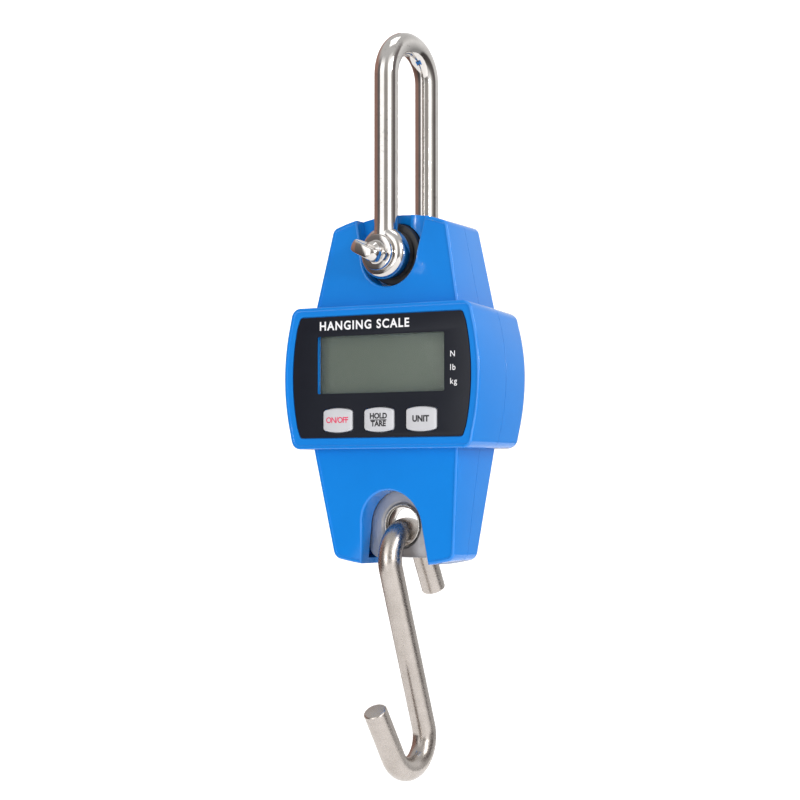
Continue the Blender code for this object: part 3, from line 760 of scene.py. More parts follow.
class Grower:
    """Builds a Geometry Nodes tree with named inputs and turns its result into a plain mesh."""

    def __init__(self, name: str) -> None:
        """Start a tree.

        Args:
            name: Name of the tree.
        """
        self.tree = bpy.data.node_groups.new(name, "GeometryNodeTree")
        self.tree.interface.new_socket("Geometry", in_out="INPUT", socket_type="NodeSocketGeometry")
        self.tree.interface.new_socket("Geometry", in_out="OUTPUT", socket_type="NodeSocketGeometry")
        self.values: dict[str, Any] = {}
        self.entry = self.tree.nodes.new("NodeGroupInput")

    def node(self, kind: str, **values: Any) -> bpy.types.Node:
        """Add a node and set its properties.

        Args:
            kind: Blender's name for the node type.
            values: Properties of the node.

        Returns:
            The node.
        """
        made = self.tree.nodes.new(kind)
        for key, value in values.items():
            setattr(made, key, value)
        return made

    def link(self, source: Any, target: Any) -> None:
        """Join an output to an input."""
        self.tree.links.new(source, target)

    def size(self, name: str, value: Any, kind: str = "NodeSocketFloat") -> Any:
        """Add a named input.

        Args:
            name: Name of the input.
            value: Its value.
            kind: Its socket type.

        Returns:
            The output that carries it inside the tree.
        """
        socket = self.tree.interface.new_socket(name, in_out="INPUT", socket_type=kind)
        self.values[socket.identifier] = value
        return self.entry.outputs[name]

    def grow(self, geometry: Any, finish: Finish, base: bpy.types.Mesh | None = None) -> bpy.types.Mesh:
        """Close the tree and read its result.

        Args:
            geometry: The output with the shape.
            finish: The finish that it is given.
            base: A mesh that the tree starts from.

        Returns:
            A plain mesh.
        """
        real = self.node("GeometryNodeRealizeInstances")
        dress = self.node("GeometryNodeSetMaterial")
        dress.inputs["Material"].default_value = finish.material()
        leave = self.node("NodeGroupOutput")
        self.link(geometry, real.inputs["Geometry"])
        self.link(real.outputs["Geometry"], dress.inputs["Geometry"])
        self.link(dress.outputs["Geometry"], leave.inputs[0])
        holder = bpy.data.objects.new("holder", base or bpy.data.meshes.new("holder"))
        bpy.context.scene.collection.objects.link(holder)
        modifier = holder.modifiers.new("grow", "NODES")
        modifier.node_group = self.tree
        for identifier, value in self.values.items():
            modifier[identifier] = value
        graph = bpy.context.evaluated_depsgraph_get()
        mesh = bpy.data.meshes.new_from_object(holder.evaluated_get(graph))
        holder.modifiers.remove(modifier)
        bpy.data.objects.remove(holder, do_unlink=True)
        mesh.shade_smooth()
        mesh.set_sharp_from_angle(angle=math.radians(35.0))
        return mesh


def scattered(bench: Workshop, name: str, form: bmesh.types.BMesh, spots: Sequence[Point],
              finish: Finish) -> bpy.types.Mesh:
    """Repeat a form at several spots.

    Args:
        bench: The workshop.
        name: Name of the tree.
        form: The form, about its own origin.
        spots: Where each copy stands, in millimetres.
        finish: The finish that the copies are given.

    Returns:
        A plain mesh with all the copies.
    """
    for vert in form.verts:
        vert.co.z += CROWN
    unit = bench.helper(form)
    marks = bpy.data.meshes.new("marks")
    marks.from_pydata([(x * MM, y * MM, (z - CROWN) * MM) for x, y, z in spots], [], [])
    grower = Grower(name)
    source = grower.node("GeometryNodeObjectInfo")
    grower.link(grower.size("Form", unit, "NodeSocketObject"), source.inputs["Object"])
    copies = grower.node("GeometryNodeInstanceOnPoints")
    scale = grower.size("Scale", 1.0)
    grower.link(scale, copies.inputs["Scale"])
    grower.link(grower.entry.outputs["Geometry"], copies.inputs["Points"])
    grower.link(source.outputs["Geometry"], copies.inputs["Instance"])
    return grower.grow(copies.outputs["Instances"], finish, marks)


# Hanging steel ----------------------------------------------------------------------------------


@dataclass
class Shackle:
    """The long shackle, its screw pin and the washers beside the load cell.

    Attributes:
        rod: Radius of the rod.
        leg: Distance of each leg from the middle.
        eye: Radius of the eyes.
        pin: Radius of the pin.
        collar: Radius of the pin's collar.
        tilt: Turn of the pin's tab, in degrees.
    """

    rod: float = 4.0
    leg: float = 12.25
    eye: float = 8.7
    pin: float = 3.9
    collar: float = 6.0
    tilt: float = -26.0

    def build(self, bench: Workshop) -> None:
        """Make the shackle's pieces."""
        bench.put("shackle_rod", self.bow(bench), SHINY, Body.SHACKLE, "shackle_bow")
        bench.put("screw_pin", self.screw_pin(bench), SHINY, Body.PIN, "shackle_pin")
        for side, word in ((-1, "front"), (1, "rear")):
            mesh = to_mesh("washer", self.washer(side))
            bench.put(f"washer_{word}", mesh, NYLON_AND_SHADE, Body.HOUSING, f"spacer_washer_{word}")

    def bow(self, bench: Workshop) -> bpy.types.Mesh:
        """The bent rod with its two eyes."""
        path: list[Point] = [(0.0, -self.leg, 3.0 + 0.9 * i) for i in range(12)]
        height = CROWN + self.rod - self.leg
        radii = [self.rod + 0.75 * (1 - i / 11) ** 2 for i in range(12)]
        path += [(0.0, -self.leg, 14.0 + (height - 14.0) * i / 8) for i in range(8)]
        for i in range(61):
            angle = math.pi - math.pi * i / 60
            path.append((0.0, self.leg * math.cos(angle), height + self.leg * math.sin(angle)))
        path += [(0.0, self.leg, 14.0 + (height - 14.0) * (7 - i) / 8) for i in range(8)]
        path += [(0.0, self.leg, 3.0 + 0.9 * (11 - i)) for i in range(12)]
        radii += [self.rod] * 77
        radii += [self.rod + 0.75 * (i / 11) ** 2 for i in range(12)]
        steps = []
        for side in (-1, 1):
            inner, outer = side * (self.leg - 4.0), side * (self.leg + 4.0)
            profile = [(self.eye - 1.0, inner), (self.eye - 0.3, inner + side * 0.3),
                       (self.eye, inner + side * 1.0)]
            for i in range(9):
                angle = math.pi / 2 * i / 8
                profile.append((self.eye - 2.6 * (1 - math.cos(angle)), outer - side * 2.6 * (1 - math.sin(angle))))
            steps.append(("UNION", bench.helper(turned(profile, 72))))
            mouth = [(self.pin + 0.9, outer + side), (self.pin + 0.9, outer - side * 0.1),
                     (self.pin + 0.35, outer - side * 0.7), (self.pin + 0.3, inner + side * 0.4),
                     (self.pin + 0.6, inner), (self.pin + 0.6, inner - side)]
            steps.append(("DIFFERENCE", bench.helper(turned(mouth, 48))))
        return bench.carve("shackle_rod", swept(path, radii, 48), steps)

    def screw_pin(self, bench: Workshop) -> bpy.types.Mesh:
        """The pin with its collar, neck and flat tab."""
        profile: list[Flat] = [(3.0, 17.4), (3.4, 17.3), (self.pin, 16.7), (self.pin, -16.5)]
        profile += [(self.collar - 0.4, -16.5), (self.collar - 0.1, -16.6), (self.collar, -16.9)]
        profile += [(self.collar, -18.0), (self.collar - 0.15, -18.3), (self.collar - 0.6, -18.45)]
        profile += [(4.0, -18.5), (3.6, -18.8), (3.45, -19.6), (3.3, -20.8), (2.4, -21.8)]
        half = [(3.1, -19.2), (3.9, -19.9), (4.9, -21.0), (5.5, -22.3), (5.7, -23.6), (5.5, -24.9),
                (4.8, -26.0), (3.6, -26.7), (2.0, -27.0)]
        outline = half + [(-x, y) for x, y in reversed(half)]
        tilt = math.radians(self.tilt)
        rings = []
        edge = [(-1.95 * math.cos(math.pi * i / 12), 0.88 + 0.12 * math.sin(math.pi * i / 12)) for i in range(13)]
        dish = ((1.5, 0.3), (1.58, 0.5), (1.75, 0.68), (1.9, 0.82))
        steps = [(-high, shrink) for high, shrink in dish] + edge + list(reversed(dish))
        for high, shrink in steps:
            ring = []
            for x, y in outline:
                px, py = x * shrink, -23.2 + (y + 23.2) * shrink
                ring.append((px * math.cos(tilt) - high * math.sin(tilt), py,
                             px * math.sin(tilt) + high * math.cos(tilt)))
            rings.append(ring)
        tab = bench.helper(loft(rings))
        return bench.carve("screw_pin", turned(profile, 64), [("UNION", tab)])

    def washer(self, side: int) -> bmesh.types.BMesh:
        """A black spacer washer on one side of the load cell; its black also stands in for the shade in the channel
        round the shackle's eye.
        """
        inner, outer = side * 4.3, side * 7.95
        profile = [(4.3, inner), (10.35, inner), (10.35, outer - side * 0.6), (10.2, outer - side * 0.2),
                   (9.8, outer), (4.3, outer)]
        return turned(profile, 72, closed=True)


@dataclass
class Hook:
    """The S-hook, the flared bush that it turns in and the split ring.

    Attributes:
        rod: Radius of the rod.
        top: Y, Z and centreline radius of the upper bend.
        low: Y, Z and centreline radius of the lower bend.
        tail: Angle of the tail in degrees and its length.
        arm: Angle of the arm in degrees and its length.
        eye: Height of the lower eye.
    """

    rod: float = 4.0
    top: Point = (0.0, -102.0, 10.0)
    low: Point = (1.0, -162.1, 10.2)
    tail: Flat = (27.0, 17.0)
    arm: Flat = (33.5, 19.5)
    eye: float = -90.6

    def build(self, bench: Workshop) -> None:
        """Make the hook's pieces."""
        path, radii = rounded_ends(self.balanced(self.path()), self.rod, 0.7)
        bench.put("load_hook", to_mesh("load_hook", swept(path, radii, 48)), SATIN, Body.HOOK, "hook")
        bench.put("eye_bush", to_mesh("eye_bush", self.bush()), SHINY, Body.SWIVEL, "hook_bush")
        bench.put("split_ring", to_mesh("split_ring", self.ring()), SPRING, Body.HOUSING, "retaining_ring")

    def path(self) -> list[Flat]:
        """The centreline in YZ: tail, upper bend, shank, lower bend and arm."""
        (y1, z1, r1), (y2, z2, r2) = self.top, self.low
        tail, arm = math.radians(self.tail[0]), math.radians(self.arm[0])
        apart = math.hypot(y2 - y1, z2 - z1)
        lean = math.asin((r1 + r2) / apart) + math.atan2(y2 - y1, z1 - z2)
        start = (y1 + r1 * math.cos(tail), z1 + r1 * math.sin(tail))
        reach = self.tail[1]
        path = [(start[0] + reach * math.sin(tail), start[1] - reach * math.cos(tail))]
        for i in range(49):
            angle = tail + (math.pi + lean - tail) * i / 48
            path.append((y1 + r1 * math.cos(angle), z1 + r1 * math.sin(angle)))
        for i in range(49):
            angle = lean - (lean + math.pi - arm) * i / 48
            path.append((y2 + r2 * math.cos(angle), z2 + r2 * math.sin(angle)))
        y, z = path[-1]
        path.append((y - self.arm[1] * math.sin(arm), z + self.arm[1] * math.cos(arm)))
        return path

    def balanced(self, path: list[Flat]) -> list[Point]:
        """Turn the path about the upper bend until its weight hangs below.

        Args:
            path: The centreline in YZ.

        Returns:
            The turned centreline.
        """
        pivot = Vector(self.top[:2])
        weight, total = Vector((0.0, 0.0)), 0.0
        for a, b in zip(path, path[1:]):
            length = (Vector(b) - Vector(a)).length
            weight += (Vector(a) + Vector(b)) / 2 * length
            total += length
        hang = weight / total - pivot
        turn = math.atan2(hang.x, -hang.y)
        cos, sin = math.cos(turn), math.sin(turn)
        return [(0.0, pivot.x + (y - pivot.x) * cos + (z - pivot.y) * sin,
                 pivot.y - (y - pivot.x) * sin + (z - pivot.y) * cos) for y, z in path]

    def bush(self) -> bmesh.types.BMesh:
        """The bush, whose bore follows the hook's bend."""
        inner = []
        for i in range(17):
            y = -2.2 + 4.4 * i / 16
            inner.append((self.eye - self.top[1] - math.sqrt(5.7**2 - y**2), y))
        profile = [(6.85, 2.2), (7.0, 2.05), (7.0, -2.05), (6.85, -2.2)] + inner
        return turned(profile, 72, (0.0, 0.0, self.eye), closed=True)

    def ring(self) -> bmesh.types.BMesh:
        """The split ring, with its gap at the upper right."""
        rings = []
        for i in range(73):
            angle = math.radians(62.0 + 334.0 * i / 72)
            section = rounded_box((6.62, 7.0), (-3.15, -2.5), 0.12, 3)
            rings.append([(r * math.cos(angle), y, self.eye + r * math.sin(angle)) for r, y in section])
        return loft(rings)


@dataclass
class LoadCell:
    """The steel bar that carries the load through the housing.

    Attributes:
        half: Half its width.
        base: Half the width of the lower block.
        eye: Half the thickness of the upper eye.
        waist: Half the thickness of the waist.
        foot: Half the thickness of the lower block.
        bore: Radius of the lower eye.
        bottom: Height of its lower end.
    """

    half: float = 11.0
    base: float = 13.2
    eye: float = 4.0
    waist: float = 2.1
    foot: float = 3.3
    bore: float = 7.3
    bottom: float = -101.4

    def build(self, bench: Workshop) -> None:
        """Make the load cell."""
        top = [(-self.half, -14.6), (self.half, -14.6)] + arc((0.0, 0.0), 10.5, -5, 185, 48)
        low = [(self.base, -68.0), (-self.base, -68.0)]
        low += arc((-self.base + 4.0, self.bottom + 4.0), 4.0, 180, 270, 12)
        low += arc((self.base - 4.0, self.bottom + 4.0), 4.0, 270, 360, 12)
        waist = block((-self.half + 0.05, self.half - 0.05), (-self.waist, self.waist), (-70.0, -12.0))
        slot = arc((0.0, -29.0), 3.4, 0, 180, 16) + arc((0.0, -53.0), 3.4, 180, 360, 16)
        mouth = [(8.6, -5.0), (8.1, -self.foot), (self.bore + 0.15, -self.foot + 0.55),
                 (self.bore, -self.foot + 0.7),
                 (self.bore, self.foot - 0.7), (self.bore + 0.15, self.foot - 0.55), (8.1, self.foot), (8.6, 5.0)]
        cuts = [rod(4.4, (-9, 9)), turned(mouth, 72, (0.0, 0.0, -90.6)), prism(slot, -9, 9)]
        cuts += [rod(1.85, (-9, 9), side * 7.6, -71.8, 24) for side in (-1, 1)]
        steps = [("UNION", bench.helper(waist)),
                 ("UNION", bench.helper(prism(low, -self.foot, self.foot, 0.5, 4))),
                 ("DIFFERENCE", bench.helper(joined(cuts)))]
        mesh = bench.carve("load_bar", prism(top, -self.eye, self.eye, 0.4, 3), steps)
        bench.put("load_bar", mesh, MACHINED, Body.HOUSING, "load_cell")


# Housing ----------------------------------------------------------------------------------------


@dataclass
class Housing:
    """The two blue shells.

    Attributes:
        top: Upper end of the box.
        bottom: Lower end of the box.
        half: Half the box's width at its middle.
        bow: Radius of the box's bowed sides.
        corner: Radius of the box's corners.
        front: Depth of the box's front.
        rear: Depth of the box's rear.
        wall: Thickness of the walls.
        gap: Width of the joint between the shells, as it shows.
        rim: Steps of the raised rim round the front, inwards and back.
        screws: X, Z and head depth of the housing screws.
    """

    top: float = -17.2
    bottom: float = -65.1
    half: float = 39.3
    bow: float = 75.5
    corner: float = 3.6
    front: float = 16.4
    rear: float = 14.2
    wall: float = 1.9
    gap: float = 0.12
    screws: tuple[Point, ...] = ((19.5, -4.0, 5.5), (33.4, -41.1, 8.5), (19.0, -82.0, 3.9))
    rim: tuple[Flat, ...] = (
        (0.0, 0.5), (0.04, 0.31), (0.15, 0.15), (0.31, 0.04), (0.5, 0.0), (1.0, 0.0), (1.06, 0.04), (1.14, 0.22),
        (1.25, 0.3))

    def edge(self, part: str, side: Side) -> Sequence[Flat]:
        """The steps from a part's side to its face, inwards and back.

        Args:
            part: box, upper or lower.
            side: The half.

        Returns:
            The rim on the front, a fillet on the rear.
        """
        if side is Side.FRONT:
            return self.rim
        radius = 3.2 if part == "box" else 1.0
        angles = [math.pi / 2 * i / 8 for i in range(9)]
        return [(radius * (1 - math.cos(angle)), radius * (1 - math.sin(angle))) for angle in angles]

    def depth(self, part: str, side: Side) -> Depth:
        """How far a part's face lies from the joint, by height.

        Args:
            part: box, upper or lower.
            side: The half.

        Returns:
            A function of Z.
        """
        front = side is Side.FRONT
        if part == "box":
            return lambda z: self.front if front else self.rear
        if part == "upper":
            start, slope = (12.6, 2.1) if front else (10.0, 0.6)
            return lambda z: start - slope * (z - self.top) / 26.4
        start, slope = (13.4, 5.1) if front else (9.9, 3.5)
        return lambda z: start - slope * (self.bottom - z) / 35.7

    def outline(self, part: str) -> list[Flat]:
        """The outline of a part of the housing.

        Args:
            part: box, upper or lower.

        Returns:
            The outline.
        """
        if part == "box":
            return self.box_outline()
        if part == "upper":
            return self.taper(28.8, 23.3, self.top, 9.2, 13.9, 2.4)
        return self.taper(29.1, 24.4, self.bottom, -100.8, -104.4, 3.2)

    def box_outline(self) -> list[Flat]:
        """The box, with bowed sides and round corners."""
        centre = (self.top + self.bottom) / 2
        reach = (self.top - self.bottom) / 2 - self.corner
        side = []
        for i in range(25):
            z = centre - reach + 2 * reach * i / 24
            side.append((self.half - self.bow + math.sqrt(self.bow**2 - (z - centre) ** 2), z))
        x = side[0][0] - self.corner
        low = arc((x, centre - reach), self.corner, -90, -10, 10)
        high = arc((x, centre + reach), self.corner, 10, 90, 10)
        return mirrored(low + side[1:-1] + high)

    def taper(self, wide: float, narrow: float, z_wide: float, z_narrow: float, z_end: float,
              corner: float) -> list[Flat]:
        """A body that narrows away from the box.

        Args:
            wide: Half width at the box.
            narrow: Half width at the end.
            z_wide: Height of the box's edge.
            z_narrow: Height where the side ends.
            z_end: Height of the end's middle.
            corner: Radius of its corners.

        Returns:
            The outline.
        """
        way = 1 if z_narrow > z_wide else -1
        lean = math.degrees(math.atan2(wide - narrow, abs(z_narrow - z_wide)))
        turn = 90 - math.degrees(math.atan2(2 * abs(z_end - z_narrow), narrow))
        bend = arc((narrow - corner, 0.0), corner, lean, turn, 10)
        half = [(wide + (wide - narrow) * 0.27, z_wide - (z_narrow - z_wide) * 0.27)]
        half += [(x, z_narrow + way * (z - corner * 0.55)) for x, z in bend]
        rise, reach = half[-1][1] - z_narrow, half[-1][0]
        for i in range(1, 12):
            share = 1 - i / 12
            half.append((reach * share, z_narrow + rise + (z_end - z_narrow - rise) * (1 - share**2)))
        if way < 0:
            half.reverse()
        return mirrored(half)

    def channel(self) -> list[Flat]:
        """The U that the shackle's eye stands in."""
        return mirrored(arc((0.0, 0.2), 11.1, -90, 0, 24)[1:] + [(16.6, 24.0)])

    def arch(self) -> list[Flat]:
        """The arch that the hook's loop stands in."""
        return mirrored([(14.3, -112.0)] + arc((0.0, -90.9), 12.0, 0, 90, 24)[:-1])

    def fallen(self, part: str, ring: Iterable[Flat], y: Depth) -> list[Point]:
        """Place a ring, with the box's top and the upper body's end dropping towards the rear.

        Args:
            part: box, upper or lower.
            ring: The ring's outline.
            y: Where each of its points lies along Y, by height.

        Returns:
            The ring's points.
        """
        points = []
        for x, z in ring:
            if part == "box":
                fall = 0.10 * (y(z) + self.front) * min(max((z + 41.15) / 23.9, 0.0), 1.0)
            elif part == "upper":
                fall = 0.06 * (y(z) + 12.6) * min(max(z / 9.2, 0.0), 1.0)
            else:
                fall = 0.0
            points.append((x, y(z), z - fall))
        return points

    def outer(self, part: str, side: Side) -> bmesh.types.BMesh:
        """One half of a part's outer form."""
        outline, depth, sign = self.outline(part), self.depth(part, side), side.value
        rings = [self.fallen(part, inset(outline, 0.05), lambda z: sign * self.gap / 2),
                 self.fallen(part, outline, lambda z: sign * (self.gap / 2 + 0.06))]
        for inwards, back in self.edge(part, side):
            rings.append(self.fallen(part, inset(outline, inwards), lambda z: sign * (depth(z) - back)))
        return loft(rings)

    def hollow(self, part: str, side: Side, wall: float) -> bmesh.types.BMesh:
        """The space inside one half of a part."""
        inner, depth, sign = inset(self.outline(part), self.wall), self.depth(part, side), side.value
        return loft([self.fallen(part, inner, lambda z: -sign * 2.0),
                     self.fallen(part, inner, lambda z: sign * (depth(z) - wall - 1.0)),
                     self.fallen(part, inset(inner, 0.4), lambda z: sign * (depth(z) - wall))])

    def mouth(self, outline: Sequence[Flat], start: float, depth: Depth, side: Side) -> bmesh.types.BMesh:
        """A cutter with a rounded lip where it meets a face.

        Args:
            outline: Outline of the opening.
            start: Where it starts along Y.
            depth: Depth of the face, by height.
            side: The half that it cuts.

        Returns:
            The cutter.
        """
        sign = side.value
        sunk = 0.3 if side is Side.FRONT else 0.0
        rings = [[(x, start, z) for x, z in outline]]
        for i in range(6):
            angle = math.pi / 2 * i / 5
            grow, back = 0.7 * (1 - math.cos(angle)), sunk + 0.7 * (1 - math.sin(angle))
            rings.append([(x, sign * (depth(bz) - back), z)
                          for (x, z), (_, bz) in zip(inset(outline, -grow), outline)])
        rings.append([(x, sign * (depth(bz) + 8.0), z)
                      for (x, z), (_, bz) in zip(inset(outline, -0.7), outline)])
        return loft(rings)

    def shell(self, bench: Workshop, side: Side, extra: list[tuple[str, bpy.types.Object]]) -> bpy.types.Mesh:
        """One shell, with its own posts, bores and openings.

        Args:
            bench: The workshop.
            side: The half.
            extra: Operations for this half only, before the openings.

        Returns:
            The mesh.
        """
        sign = side.value
        steps = [("UNION", bench.helper(self.outer(part, side))) for part in ("upper", "lower")]
        hollow = bench.helper(self.hollow("box", side, 2.5 if side is Side.FRONT else 1.8))
        if side is Side.REAR:
            tub = bench.helper(block((-30.0, 30.0), (2.5, 30.0), (-60.9, -22.7)))
            bench.stack(hollow, [("DIFFERENCE", tub)])
        steps.append(("DIFFERENCE", hollow))
        for part, outline, reach in (("upper", self.channel(), 4.3),
                                     ("lower", self.arch(), 3.6 if side is Side.FRONT else 4.4)):
            kept = bench.helper(prism(inset(outline, -1.8), sign * reach, sign * 30))
            hollow = bench.stack(bench.helper(self.hollow(part, side, self.wall)), [("DIFFERENCE", kept)])
            steps.append(("DIFFERENCE", hollow))
        steps += extra
        channel = self.mouth(self.channel(), sign * 5.9, self.depth("upper", side), side)
        slot = block((-5.6, 5.6), (sign * 5.1, sign * 7.0), (-8.0, 24.0))
        arch = self.mouth(self.arch(), -sign * 2.0, self.depth("lower", side), side)
        openings = (channel, slot, rod(10.7, (sign * 3.5, sign * 7.5), segments=72), arch)
        steps += [("DIFFERENCE", bench.helper(form)) for form in openings]
        return bench.carve(f"{side.name.lower()}_shell", self.outer("box", side), steps, 28.0)

    def build(self, bench: Workshop, panel: Panel) -> None:
        """Make both shells.

        Args:
            bench: The workshop.
            panel: The front panel, whose recess and holes the front shell has.
        """
        posts, bores = [], []
        for (x, z, head), top in zip(self.screws, (10.8, 14.8, 10.2)):
            for side in (-1, 1):
                posts.append(rod(2.8, (-top, -0.3), side * x, z, 24))
                bores.append(rod(1.6, (head - 12.8, 1.0), side * x, z, 16))
        for x, z in ((26.0, -22.0), (27.0, -58.8)):
            for side in (-1, 1):
                posts.append(rod(1.9, (-14.6, -9.1), side * x, z, 16))
                bores.append(rod(1.2, (-12.8, -8.0), side * x, z, 12))
        for side in (-1, 1):
            posts.append(rod(3.1, (-11.4, -3.6), side * 7.6, -71.8, 24))
            bores.append(rod(1.85, (-9.6, -2.0), side * 7.6, -71.8, 16))
        lips = ((-15.5, -0.3), (-16.1, -0.3), (-16.3, -0.4), (-16.45, -0.65), (-30.0, -0.65))
        recess = loft([[(x, y, z) for x, z in inset(panel.outline(), grow)] for y, grow in lips])
        front = [("UNION", bench.helper(joined(posts))), ("DIFFERENCE", bench.helper(joined(bores))),
                 ("DIFFERENCE", bench.helper(recess)), ("DIFFERENCE", bench.helper(joined(panel.holes(0.2, 0.35))))]
        mesh = self.shell(bench, Side.FRONT, front)
        bench.put("housing_front", mesh, BLUE, Body.HOUSING, "front_shell")
        bench.clear()
        posts, bores = [], []
        for (x, z, head), top in zip(self.screws, (9.0, 13.2, 7.2)):
            for side in (-1, 1):
                posts.append(rod(3.9, (0.3, top), side * x, z, 24))
                profile = [(1.6, -1.0), (1.6, head - 0.3), (2.9, head - 0.3), (2.9, 30.0)]
                bores.append(turned(profile, 32, (side * x, 0.0, z)))
        pocket = prism(rounded_box((-28.4, 28.4), (-59.5, -24.1), 1.2, 4), 3.4, 30.0)
        leads = [turned([(0.95, side * 27.0), (0.95, side * 31.0)], 16, (0.0, 7.0, -29.5), along_x=True)
                 for side in (-1, 1)]
        rear = [("UNION", bench.helper(joined(posts))), ("DIFFERENCE", bench.helper(joined(bores))),
                ("DIFFERENCE", bench.helper(pocket)), ("DIFFERENCE", bench.helper(joined(leads)))]
        mesh = self.shell(bench, Side.REAR, rear)
        bench.put("housing_rear", mesh, BLUE, Body.HOUSING, "rear_shell")
        bench.clear()

    def fasteners(self, bench: Workshop) -> None:
        """The screws that hold the housing together."""
        for side, word in ((-1, "left"), (1, "right")):
            spots = [(side * x, head, z) for x, z, head in self.screws]
            nodes = [f"housing_screw_{level}_{word}" for level in ("upper", "middle", "lower")]
            mesh = scattered(bench, "screws", self.screw(bench), spots, ZINC)
            bench.put(f"housing_screws_{word}", mesh, ZINC, Body.HOUSING, *nodes)

    def screw(self, bench: Workshop) -> bmesh.types.BMesh:
        """A pan-head screw with a cross recess, its head's seat at its origin."""
        profile: list[Flat] = [(0.3, -11.8), (0.9, -11.2)]
        for i in range(14):
            y = -10.8 + 0.7 * i
            profile += [(1.0, y), (1.25, y + 0.3)]
        profile += [(1.25, 0.0), (2.5, 0.0), (2.5, 0.7), (2.35, 1.2), (1.95, 1.6), (1.3, 1.8)]
        cross = [block((-1.35, 1.35), (0.9, 3.0), (-0.28, 0.28)), block((-0.28, 0.28), (0.9, 3.0), (-1.35, 1.35))]
        steps = [("DIFFERENCE", bench.helper(form)) for form in cross]
        mesh = bench.carve("screw", turned(profile, 24), steps)
        form = bmesh.new()
        form.from_mesh(mesh)
        for vert in form.verts:
            vert.co = vert.co / MM + Vector((0.0, 0.0, CROWN))
        bpy.data.meshes.remove(mesh)
        return form


